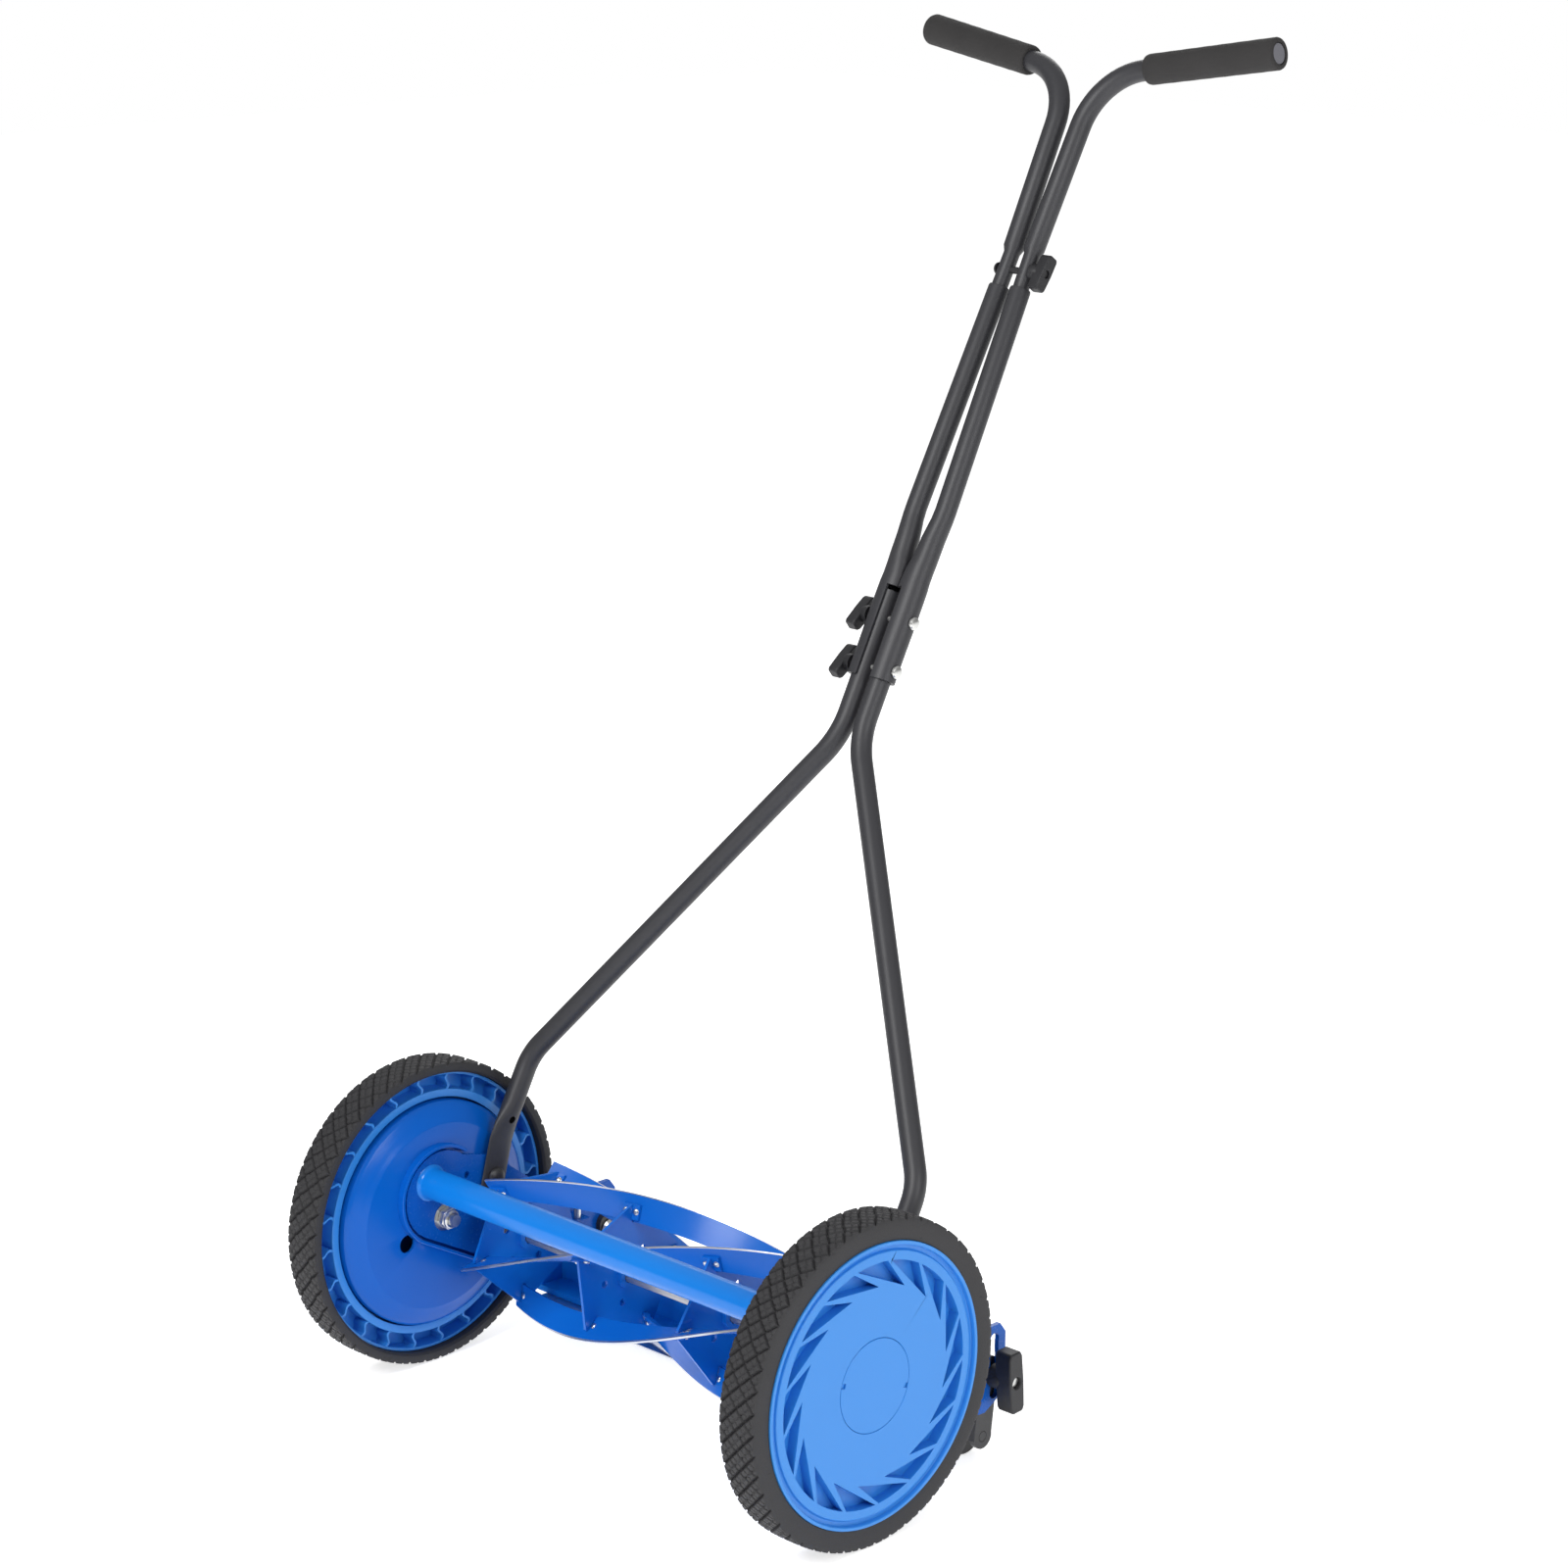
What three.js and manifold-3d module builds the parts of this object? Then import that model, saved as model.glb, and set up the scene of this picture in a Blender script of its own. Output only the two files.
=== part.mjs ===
// Push reel mower: two geared road wheels drive a five-blade reel past a fixed bed knife.
// Millimetres. X runs along the axle (left side of the mower is +X), -Y is the way it is pushed, +Z is up.
import * as THREE from "three";
import { mergeVertices } from "three/addons/utils/BufferGeometryUtils.js";
import Module from "manifold-3d";

const wasm = await Module();
wasm.setup();

// ---------------------------------------------------------------- driving dimensions
const clearance = 0.3; // gap left between neighbouring pieces
const runningGap = 0.35; // radial gap of a shaft in its bore
const roundSides = 14; // sides of small round features

const plateInnerX = 219; // inner face of each side plate; every width below follows it

const wheelRadius = 127; // 10 inch wheels
const wheelSides = 36; // the lowest side of the tyre is a flat resting facet
const hubSides = 28;
const tyreWidth = 36;
const tyreInnerX = plateInnerX + 9;
const tyreOuterX = tyreInnerX + tyreWidth;
const rimInnerX = plateInnerX + 17.4; // inner edge of the moulded rim
const rimOuterX = rimInnerX + 28; // outer lip of the moulded rim
const rimInnerRadius = 117.3;
const rimOuterRadius = 109.2;
const rimWall = 2.5;
const ribRingRadius = 102.3; // ring that the radial ribs stand on
const ribCount = 24;
const ribThickness = 2;
const slotCount = 17; // slanted turbine slots of the outer face
const slotTipRadius = 76;
const slotOuterRadius = 94;
const slotLead = 16; // degrees from the tip to the near outer corner
const slotSpan = 17.5; // degrees between the outer corners
const slotDepth = 7;
const discX = rimOuterX - 1.8; // outer face of the hub disc
const webX = discX - 10.1; // inner face of the hub disc
const pocketX = webX - 1.5; // floor of the pockets in the inner face of the rim
const rimStepX = pocketX + rimWall; // the rim steps in to its outer radius here
const hubCapRadius = 36;
const hubCapThickness = 3;
const axleRadius = 8; // shoulder of the axle bolt
const axleThreadRadius = 5;
const axleHeadRadius = 11;

const gearModule = 3;
const ringTeeth = 54;
const pinionTeeth = 10;
const gearWidth = 10;
const gearInnerX = plateInnerX + 21.5;
const gearOuterX = gearInnerX + gearWidth;
const reelDirection = -21.3; // degrees from +Y, seen from the left side
const reelShaftRadius = 6;
const pawlLength = 18;
const pawlWidth = 4;
const pawlDepth = 5;

const plateThickness = 4;
const plateFrontRadius = 37;
const coverGap = 0.4;
const coverThickness = 2.2;
const coverRadius = 94.3;
const coverStepRadius = 78;
const bossWall = 3;
const bossHeight = 6.5;
const bossMargin = 2.2; // play between the side plate and the wall round it

const tieBarRadius = 12.5;
const tieBarWall = 1.5;
const tieBarY = -14;
const tieBarZ = 33;

const bladeCount = 5;
const reelRadius = 64.9;
const bladeWidth = 22.5;
const bladeThickness = 2.5;
const bladeHalfLength = plateInnerX - 20;
const bladeTwist = -34.5; // degrees per 100 mm along X
const bladePhase = 50.9; // degrees, first blade at its right-hand end
const bladeSteps = 16;
const spiderCount = 4;
const spiderFirstX = 9 - bladeHalfLength;
const spiderLastX = bladeHalfLength - 30.5;
const spiderPitch = (spiderLastX - spiderFirstX) / (spiderCount - 1);
const spiderRadius = 57;
const spiderThickness = 2.5;

const knifeAngle = -80; // degrees, where the bed knife meets the reel
const knifeGap = 0.4;
const knifeThickness = 3;
const knifeWidth = 42;
const cutterBarThickness = 5;
const cutterPivotY = 118;
const cutterPivotZ = -47;
const cutterHalfLength = plateInnerX - 5;
const adjusterX = plateInnerX - 12;
const adjusterY = 133;
const leverTop = -60; // pad of the cutter bar under the adjusting screw
const screwRadius = 3;
const cutterTilt = 2; // degrees the cutter bar opens away from the reel

const tubeRadius = 8.65;
const tubeWall = 1.2;
const layAngle = 61.7; // degrees from level
const footAngle = 75; // degrees from level, flattened foot of the lower tube
const footLength = 34.6; // from the pivot to the bend above it
const footThickness = 4.2;
const footHalfWidth = 12.4;
const handleFootX = plateInnerX - 2.6;
const pivotY = 50.9;
const pivotZ = 22.6;
const pivotBoltRadius = 4;
const kneeRun = 69.5; // distances up the handle from the bend above the foot
const gatherRun = 386;
const lowerTopRun = 508;
const middleFootRun = 436;
const channelRun = 514; // top of the half channel
const roundRun = 580; // the middle tube is round again here
const middleTopRun = 770; // open top end of the middle tube
const neckFootRun = 740; // lower end of the upper tube, inside the middle one
const neckEndRun = 800; // the upper tube is full width above this
const neckRadius = 6.7;
const gripCornerRun = 955;
const gatherX = 10.2;
const middleLowX = 15.7;
const middleHighX = 11.3;
const gripCornerX = 14.4;
const kneeBend = 46;
const gatherBend = 70;
const gripBend = 54;
const gripInnerX = 62.5;
const gripLength = 122;
const gripRadius = 12.4;
const gripRise = 8.8; // degrees
const gripBack = 5.7; // degrees
const lowerBoltRuns = [445.5, 486.5];
const upperBoltRun = 785;
const jointBoltRadius = 3;

const heightPitch = 14.5;
const heightHoles = 4;
const heightBoltRow = 1; // the bolt sits in the second hole from the bottom
const heightRowY = 174.5;
const heightBoltZ = -56.5;
const heightBoltRadius = 4;
const bracketThickness = 5;
const bracketWidth = 20;
const rollerRadius = 20;
const rollerHalfLength = plateInnerX - 17;
const rollerShaftRadius = 4;
const rollerY = 167;

const gearCentres = (gearModule * (ringTeeth - pinionTeeth)) / 2;
const reelY = gearCentres * Math.cos(THREE.MathUtils.degToRad(reelDirection));
const reelZ = gearCentres * Math.sin(THREE.MathUtils.degToRad(reelDirection));
const plateOuterX = plateInnerX + plateThickness;
const coverX = plateOuterX + coverGap;
const groundZ = -wheelRadius;

const rad = THREE.MathUtils.degToRad;

// ---------------------------------------------------------------- solids
function solidOf(geometry) {
  const bare = geometry.clone();
  bare.deleteAttribute("normal");
  bare.deleteAttribute("uv");
  const merged = mergeVertices(bare, 1e-4);
  return new wasm.Manifold(
    new wasm.Mesh({
      numProp: 3,
      vertProperties: merged.attributes.position.array,
      triVerts: new Uint32Array(merged.index.array),
    }),
  );
}

function geometryOf(solid) {
  const mesh = solid.getMesh();
  const geometry = new THREE.BufferGeometry();
  geometry.setAttribute("position", new THREE.BufferAttribute(mesh.vertProperties, 3));
  geometry.setIndex(new THREE.BufferAttribute(mesh.triVerts, 1));
  geometry.computeVertexNormals();
  return geometry;
}

function join(...geometries) {
  return geometryOf(geometries.map(solidOf).reduce((a, b) => a.add(b)));
}

function cut(geometry, ...tools) {
  return geometryOf(tools.map(solidOf).reduce((a, b) => a.subtract(b), solidOf(geometry)));
}

// A round solid about the X axis. The profile is a loop of [x, radius] points, or starts and ends on the axis.
function turned(profile, sides = roundSides, phase = 0) {
  const onAxis = profile[0][1] === 0;
  const loop = onAxis ? [...profile] : [...profile, profile[0]];
  const area = loop.slice(1).reduce((sum, [x, r], i) => sum + loop[i][0] * r - x * loop[i][1], 0);
  if (area > 0) loop.reverse();
  const geometry = new THREE.LatheGeometry(
    loop.map(([x, r]) => new THREE.Vector2(r, x)),
    sides,
    phase,
  );
  return geometry.rotateZ(-Math.PI / 2);
}

// A rod along X between two places. Its sides reach the given radius at their corners.
function rod(fromX, toX, radius, y = 0, z = 0, sides = roundSides) {
  const length = Math.abs(toX - fromX);
  const geometry = new THREE.CylinderGeometry(radius, radius, length, sides);
  return geometry.rotateZ(Math.PI / 2).translate((fromX + toX) / 2, y, z);
}

// A round hole tool whose flats, not its corners, clear the radius.
function bore(fromX, toX, radius, y = 0, z = 0, sides = roundSides) {
  return rod(fromX, toX, radius / Math.cos(Math.PI / sides), y, z, sides);
}

// A flat piece lying in a plane of constant X. The shape's axes are Y and Z.
function slab(shape, fromX, toX, curveSegments = 12) {
  const geometry = new THREE.ExtrudeGeometry(shape, {
    depth: Math.abs(toX - fromX),
    bevelEnabled: false,
    curveSegments,
  });
  const turn = new THREE.Matrix4().makeBasis(
    new THREE.Vector3(0, 1, 0),
    new THREE.Vector3(0, 0, 1),
    new THREE.Vector3(1, 0, 0),
  );
  return geometry.applyMatrix4(turn).translate(Math.min(fromX, toX), 0, 0);
}

function box(fromX, toX, fromY, toY, fromZ, toZ) {
  const geometry = new THREE.BoxGeometry(toX - fromX, toY - fromY, toZ - fromZ);
  return geometry.translate((fromX + toX) / 2, (fromY + toY) / 2, (fromZ + toZ) / 2);
}

function polygon(points) {
  return new THREE.Shape(points.map(([a, b]) => new THREE.Vector2(a, b)));
}

function polar(radius, degrees, centreY = 0, centreZ = 0) {
  return [centreY + radius * Math.cos(rad(degrees)), centreZ + radius * Math.sin(rad(degrees))];
}

function arc(radius, fromDegrees, toDegrees, centreY, centreZ, steps) {
  const points = [];
  for (let i = 0; i <= steps; i++) {
    const degrees = fromDegrees + ((toDegrees - fromDegrees) * i) / steps;
    points.push(polar(radius, degrees, centreY, centreZ));
  }
  return points;
}

function hexagon(radius) {
  return polygon(Array.from({ length: 6 }, (_, i) => polar(radius, 60 * i)));
}

// Pieces of the right side are the left ones seen in a mirror at x = 0.
function mirrored(geometry) {
  const flipped = geometry.clone().scale(-1, 1, 1);
  const index = flipped.index ?? null;
  if (index) {
    for (let i = 0; i < index.count; i += 3) {
      const first = index.getX(i);
      index.setX(i, index.getX(i + 1));
      index.setX(i + 1, first);
    }
    return flipped;
  }
  const position = flipped.attributes.position;
  const swap = new THREE.Vector3();
  const other = new THREE.Vector3();
  for (let i = 0; i < position.count; i += 3) {
    swap.fromBufferAttribute(position, i);
    other.fromBufferAttribute(position, i + 1);
    position.setXYZ(i, other.x, other.y, other.z);
    position.setXYZ(i + 1, swap.x, swap.y, swap.z);
  }
  return flipped;
}

function onSide(geometry, side) {
  return side === "left" ? geometry : mirrored(geometry);
}

// ---------------------------------------------------------------- finishes
function finish(color, roughness, metalness) {
  return new THREE.MeshStandardMaterial({ color, roughness, metalness });
}
const blueMoulding = finish(0x1f6fe0, 0.35, 0);
const bluePaint = finish(0x0f5bd8, 0.3, 0.1);
const blackRubber = finish(0x262626, 0.8, 0);
const greyPaint = finish(0x3f3f43, 0.45, 0.2);
const foam = finish(0x1f1e1e, 0.95, 0);
const blackPlastic = finish(0x2b2b2e, 0.55, 0);
const zinc = finish(0xc9c9c6, 0.3, 0.9);
const steel = finish(0x9a9a98, 0.4, 0.9);

const mower = new THREE.Group();
function add(name, geometry, material) {
  const mesh = new THREE.Mesh(geometry, material);
  mesh.name = name;
  mower.add(mesh);
  return mesh;
}

// ---------------------------------------------------------------- gears
// Toothed outline: four points per tooth, the first tooth centred on phase (degrees).
function toothed(teeth, baseRadius, tipRadius, baseShare, tipShare, phase) {
  const pitch = 360 / teeth;
  const points = [];
  for (let i = 0; i < teeth; i++) {
    const centre = phase + i * pitch;
    points.push(polar(baseRadius, centre - (baseShare * pitch) / 2));
    points.push(polar(tipRadius, centre - (tipShare * pitch) / 2));
    points.push(polar(tipRadius, centre + (tipShare * pitch) / 2));
    points.push(polar(baseRadius, centre + (baseShare * pitch) / 2));
  }
  return points;
}
const pinionPitchRadius = (gearModule * pinionTeeth) / 2;
const ringPitchRadius = (gearModule * ringTeeth) / 2;
const addendum = 0.75 * gearModule;
const dedendum = gearModule;
const ringRootRadius = ringPitchRadius + dedendum;
const ringWallRadius = ringRootRadius + 3.5;

// ---------------------------------------------------------------- wheels
function hubProfile() {
  return [
    [coverX + coverThickness + 2.4, axleRadius + runningGap],
    [coverX + coverThickness + 2.4, 15],
    [webX, 15],
    [webX, ringRootRadius + 0.5],
    [gearInnerX - 1.5, ringRootRadius + 0.5],
    [gearInnerX - 1.5, ringWallRadius],
    [webX, ringWallRadius],
    [webX, coverRadius + 1.7],
    [rimInnerX, coverRadius + 1.7],
    [rimInnerX, ribRingRadius],
    [pocketX, ribRingRadius],
    [pocketX, rimInnerRadius - rimWall],
    [rimInnerX, rimInnerRadius - rimWall],
    [rimInnerX, rimInnerRadius],
    [rimStepX, rimInnerRadius],
    [rimStepX, rimOuterRadius],
    [rimOuterX, rimOuterRadius],
    [rimOuterX, rimOuterRadius - 2.6],
    [discX, rimOuterRadius - 8],
    [discX, hubCapRadius + clearance],
    [discX - hubCapThickness - clearance, hubCapRadius + clearance],
    [discX - hubCapThickness - clearance, axleHeadRadius + 2.5],
    [webX + 1.5, axleHeadRadius + 2.5],
    [webX + 1.5, axleRadius + runningGap],
  ];
}

function turbineSlot(index) {
  const tip = (index * 360) / slotCount;
  const near = tip + slotLead;
  const far = near + slotSpan;
  const outline = [
    polar(slotTipRadius, tip - 0.7),
    ...arc(slotOuterRadius, near, far, 0, 0, 2),
    polar(slotTipRadius, tip + 0.7),
  ];
  return slab(polygon(outline), discX - slotDepth, discX + 1);
}

function rib(index) {
  const reach = rimInnerRadius - 1;
  const plank = box(rimInnerX + 0.8, webX, ribRingRadius - 2, reach, -ribThickness / 2, ribThickness / 2);
  return plank.rotateX((index * 2 * Math.PI) / ribCount);
}

function wheelHub(side) {
  let hub = turned(hubProfile(), hubSides);
  for (let i = 0; i < slotCount; i++) hub = cut(hub, turbineSlot(i));
  for (let i = 0; i < ribCount; i++) hub = join(hub, rib(i));
  hub = side === "left" ? hub : hub.rotateZ(Math.PI);
  const pitch = 360 / ringTeeth;
  const teeth = polygon(arc(ringRootRadius + 1.5, 0, 360 - 360 / hubSides, 0, 0, hubSides - 1));
  const gap = toothed(
    ringTeeth, ringRootRadius, ringPitchRadius - addendum, 0.56, 0.24, reelDirection + pitch / 2,
  );
  teeth.holes.push(new THREE.Path(gap.map(([a, b]) => new THREE.Vector2(a, b))));
  const sign = side === "left" ? 1 : -1;
  return join(hub, slab(teeth, sign * (gearInnerX - 1), sign * (webX + 0.5)));
}

function tyre() {
  const corner = 1 / Math.cos(Math.PI / wheelSides); // makes the flats, not the corners, the full radius
  const profile = [
    [rimInnerX + 1, rimInnerRadius + clearance],
    [tyreInnerX, wheelRadius - 3],
    [tyreInnerX + 3, wheelRadius],
    [tyreOuterX - 3, wheelRadius],
    [tyreOuterX, wheelRadius - 2.5],
    [tyreOuterX, rimOuterRadius + clearance],
    [rimStepX + clearance, rimOuterRadius + clearance],
    [rimStepX + clearance, rimInnerRadius + clearance],
  ];
  return turned(profile.map(([x, r]) => [x, r * corner]), wheelSides, Math.PI / wheelSides);
}

function hubCap() {
  const cap = turned(
    [
      [discX - hubCapThickness, 0],
      [discX - hubCapThickness, hubCapRadius],
      [discX, hubCapRadius],
      [discX, 0],
    ],
    36,
  );
  const notches = [0, 180].map((degrees) =>
    box(discX - 1.2, discX + 1, hubCapRadius - 2.6, hubCapRadius + 1, -1.5, 1.5).rotateX(rad(degrees)),
  );
  return cut(cap, ...notches);
}

function axleBolt() {
  const seat = coverX + coverThickness + clearance;
  const shoulder = turned([
    [seat, 0],
    [seat, axleRadius],
    [webX + 2, axleRadius],
    [webX + 2, 0],
  ]);
  const head = slab(hexagon(axleHeadRadius), webX + 1.5 + clearance, discX - hubCapThickness - 0.8);
  return join(shoulder, head, rod(plateInnerX - 14, seat + 1, axleThreadRadius));
}

function axleNut() {
  const face = plateInnerX - clearance;
  const nut = join(
    slab(hexagon(9.4), face - 7, face),
    rod(face - 9.2, face - 1, 7.2),
  );
  return cut(nut, bore(face - 12, face + 1, axleThreadRadius + 0.2));
}

for (const side of ["left", "right"]) {
  add("wheel_hub_" + side, wheelHub(side), blueMoulding);
  add("tyre_" + side, onSide(tyre(), side), blackRubber);
  add("hub_cap_" + side, onSide(hubCap(), side), blueMoulding);
  add("axle_bolt_" + side, onSide(axleBolt(), side), zinc);
  add("axle_nut_" + side, onSide(axleNut(), side), zinc);
}

// ---------------------------------------------------------------- frame
const frontY = -3;
const frontZ = 20;
const plateReelRadius = 29;
const bearingRadius = 10.6;

function bossOutline(grow) {
  const front = plateFrontRadius + bossMargin + grow;
  const back = plateReelRadius + bossMargin + grow;
  return polygon([
    ...arc(front, 50, 241, frontY, frontZ, 14),
    ...arc(back, 241, 380, reelY, reelZ, 8),
  ]);
}

function heightSlot() {
  const low = heightBoltZ - heightBoltRow * heightPitch;
  const holes = [];
  for (let i = 0; i < heightHoles; i++) {
    const holeZ = low + i * heightPitch;
    holes.push(bore(plateInnerX - 1, plateOuterX + 1, heightBoltRadius + 0.9, heightRowY, holeZ, 10));
  }
  const neck = heightBoltRadius + 0.45;
  const high = low + (heightHoles - 1) * heightPitch;
  return [...holes, box(plateInnerX - 1, plateOuterX + 1, heightRowY - neck, heightRowY + neck, low, high)];
}

function sidePlate() {
  const outline = polygon([
    ...arc(plateFrontRadius, 50, 241, frontY, frontZ, 14),
    ...arc(plateReelRadius, 241, 276, reelY, reelZ, 4),
    [150, -84],
    [164, -85],
    [184, -74],
    [187, -66],
    [187, -24],
    [181, -16],
    [168, -16],
    [112, -6],
    ...arc(17, 20, 88, pivotY, pivotZ, 5),
  ]);
  const plate = join(
    slab(outline, plateInnerX, plateOuterX),
    box(adjusterX - 6.5, plateInnerX + 1, adjusterY - 9, adjusterY + 9, -38, -34),
  );
  return cut(
    plate,
    bore(plateInnerX - 1, plateOuterX + 1, axleThreadRadius + clearance),
    bore(plateInnerX - 1, plateOuterX + 1, bearingRadius + clearance, reelY, reelZ),
    bore(plateInnerX - 1, plateOuterX + 1, pivotBoltRadius + 0.2, pivotY, pivotZ),
    bore(plateInnerX - 1, plateOuterX + 1, 5 + clearance, cutterPivotY, cutterPivotZ),
    bore(plateInnerX - 1, plateOuterX + 1, 2.8, 24, 30, 12),
    bore(-3, 3, screwRadius + clearance, 0, 0, 12).rotateY(Math.PI / 2).translate(adjusterX, adjusterY, -36),
    ...heightSlot(),
  );
}

function gearCover() {
  const back = coverX + coverThickness;
  const shell = turned(
    [
      [coverX, 0],
      [coverX, coverStepRadius],
      [coverX + 1.6, coverStepRadius + 2.4],
      [coverX + 6, coverRadius - 3.4],
      [coverX + 9, coverRadius],
      [coverX + 17, coverRadius],
      [coverX + 17, coverRadius - coverThickness],
      [coverX + 10.5, coverRadius - coverThickness],
      [back + 5.4, coverRadius - 5.8],
      [back + 1, coverStepRadius + 1],
      [back, coverStepRadius - 1],
      [back, 0],
    ],
    hubSides,
  );
  const wallTop = coverX - bossHeight;
  const ring = cut(
    slab(bossOutline(bossWall), wallTop, coverX + 0.6),
    slab(bossOutline(0), wallTop - 1, coverX + 1),
    box(wallTop - 1, coverX + 1, 20, 140, 8, 90),
    box(wallTop - 1, coverX + 1, 62, 140, -90, 20),
  );
  return cut(
    join(shell, ring),
    bore(coverX - 1, back + 1, axleThreadRadius + clearance),
    bore(coverX - 1, back + 1, reelShaftRadius + 0.8, reelY, reelZ),
    bore(coverX - 1, back + 1, 7.6, -36.6, -14.8),
  );
}

function reelBearing() {
  const inner = plateInnerX - clearance;
  const bush = join(
    turned([[inner - 4, 0], [inner - 4, 12], [inner - 2.5, 14], [inner, 14], [inner, 0]]),
    rod(inner - 1, plateOuterX - 0.1, bearingRadius),
  );
  const hollow = bore(inner - 5, plateOuterX + 1, reelShaftRadius + runningGap / 2);
  return cut(bush, hollow).translate(0, reelY, reelZ);
}

function pivotBolt() {
  const footFace = handleFootX - footThickness / 2 - clearance;
  const head = turned([
    [footFace - 4.6, 0],
    [footFace - 4.6, 4.5],
    [footFace - 2.6, 7.4],
    [footFace, 8],
    [footFace, 0],
  ]);
  return join(head, rod(footFace - 1, plateOuterX - 0.2, pivotBoltRadius)).translate(0, pivotY, pivotZ);
}

const tieBarEnd = plateInnerX - clearance;
const tieBar = cut(
  rod(-tieBarEnd, tieBarEnd, tieBarRadius, tieBarY, tieBarZ),
  rod(-tieBarEnd - 1, tieBarEnd + 1, tieBarRadius - tieBarWall, tieBarY, tieBarZ),
);
add("tie_bar", tieBar, bluePaint);
for (const side of ["left", "right"]) {
  add("side_plate_" + side, onSide(sidePlate(), side), bluePaint);
  add("gear_cover_" + side, onSide(gearCover(), side), blueMoulding);
  add("reel_bearing_" + side, onSide(reelBearing(), side), steel);
  add("handle_pivot_bolt_" + side, onSide(pivotBolt(), side), blackPlastic);
}

// ---------------------------------------------------------------- reel
function twistAt(x) {
  return rad(bladePhase + (bladeTwist * (x + bladeHalfLength)) / 100);
}

// Turns each point about the reel axis by the helix angle at its own x.
function twisted(geometry) {
  const position = geometry.attributes.position;
  for (let i = 0; i < position.count; i++) {
    const turn = twistAt(position.getX(i));
    const y = position.getY(i);
    const z = position.getZ(i);
    position.setY(i, y * Math.cos(turn) - z * Math.sin(turn));
    position.setZ(i, y * Math.sin(turn) + z * Math.cos(turn));
  }
  return geometry;
}

// A strip that follows the helix, given by its section (radius and side offset) before twisting.
function helixStrip(fromX, toX, steps, innerRadius, outerRadius, nearSide, farSide) {
  const length = toX - fromX;
  const strip = new THREE.BoxGeometry(length, outerRadius - innerRadius, farSide - nearSide, steps, 1, 1);
  strip.translate((fromX + toX) / 2, (innerRadius + outerRadius) / 2, (nearSide + farSide) / 2);
  return twisted(strip);
}

function blade(index) {
  const half = bladeThickness / 2;
  const strip = helixStrip(
    -bladeHalfLength, bladeHalfLength, bladeSteps, reelRadius - bladeWidth, reelRadius, -half, half,
  );
  return strip.rotateX((index * 2 * Math.PI) / bladeCount).translate(0, reelY, reelZ);
}

function spider(index) {
  const x = spiderFirstX + index * spiderPitch;
  const half = spiderThickness / 2;
  const vertex = THREE.MathUtils.radToDeg(twistAt(x));
  const corners = [];
  for (let i = 0; i < bladeCount; i++) {
    const centre = vertex + (i * 360) / bladeCount;
    corners.push(polar(spiderRadius, centre - 4), polar(spiderRadius, centre + 4));
  }
  let plate = slab(polygon(corners), x - half, x + half);
  const side = bladeThickness / 2 + clearance;
  const slack = side + 0.5;
  for (let i = 0; i < bladeCount; i++) {
    const angle = vertex + (i * 360) / bladeCount;
    const gap = box(x - half - 1, x + half + 1, reelRadius - bladeWidth - clearance, reelRadius, -slack, slack);
    plate = cut(plate, gap.rotateX(rad(angle)));
    const tab = helixStrip(x - 7, x + 7, 1, reelRadius - bladeWidth + 2, spiderRadius, side, side + 2.2);
    plate = join(plate, tab.rotateX((i * 2 * Math.PI) / bladeCount));
    const [holeY, holeZ] = polar(24, angle + 36);
    plate = cut(plate, bore(x - 2, x + 2, 3, holeY, holeZ, 6));
  }
  const hub = rod(x - 6, x + 6, 11, 0, 0, 10);
  const eye = bore(x - 7, x + 7, reelShaftRadius + clearance, 0, 0, 10);
  return cut(join(plate, hub), eye).translate(0, reelY, reelZ);
}

const shaftEnd = gearOuterX + 1;
const pawlX = (gearInnerX + gearOuterX) / 2 - 0.5;
function reelShaft() {
  const slots = [-1, 1].map((sign) =>
    box(
      sign * pawlX - pawlDepth / 2 - clearance, sign * pawlX + pawlDepth / 2 + clearance,
      -reelShaftRadius - 1, reelShaftRadius + 1,
      -pawlWidth / 2 - clearance, pawlWidth / 2 + clearance,
    ),
  );
  return cut(rod(-shaftEnd, shaftEnd, reelShaftRadius), ...slots).translate(0, reelY, reelZ);
}

function pawl() {
  const half = pawlLength / 2;
  const key = box(pawlX - pawlDepth / 2, pawlX + pawlDepth / 2, -half, half, -pawlWidth / 2, pawlWidth / 2);
  return key.translate(0, reelY, reelZ);
}

function pinion() {
  const outline = toothed(
    pinionTeeth, pinionPitchRadius - dedendum, pinionPitchRadius + addendum, 0.6, 0.2, reelDirection,
  );
  const gear = slab(polygon(outline), gearInnerX, gearOuterX);
  const drum = bore(pawlX - pawlDepth / 2 - 0.6, pawlX + pawlDepth / 2 + 0.6, pawlLength / 2 + 0.7);
  const eye = bore(gearInnerX - 1, gearOuterX + 1, reelShaftRadius + runningGap / 2);
  return cut(gear, drum, eye).translate(0, reelY, reelZ);
}

add("reel_shaft", reelShaft(), steel);
for (let i = 0; i < spiderCount; i++) add("reel_spider_" + (i + 1), spider(i), bluePaint);
for (let i = 0; i < bladeCount; i++) add("reel_blade_" + (i + 1), blade(i), bluePaint);
for (const side of ["left", "right"]) {
  add("pinion_" + side, onSide(pinion(), side), steel);
  add("drive_pawl_" + side, onSide(pawl(), side), steel);
}

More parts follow.
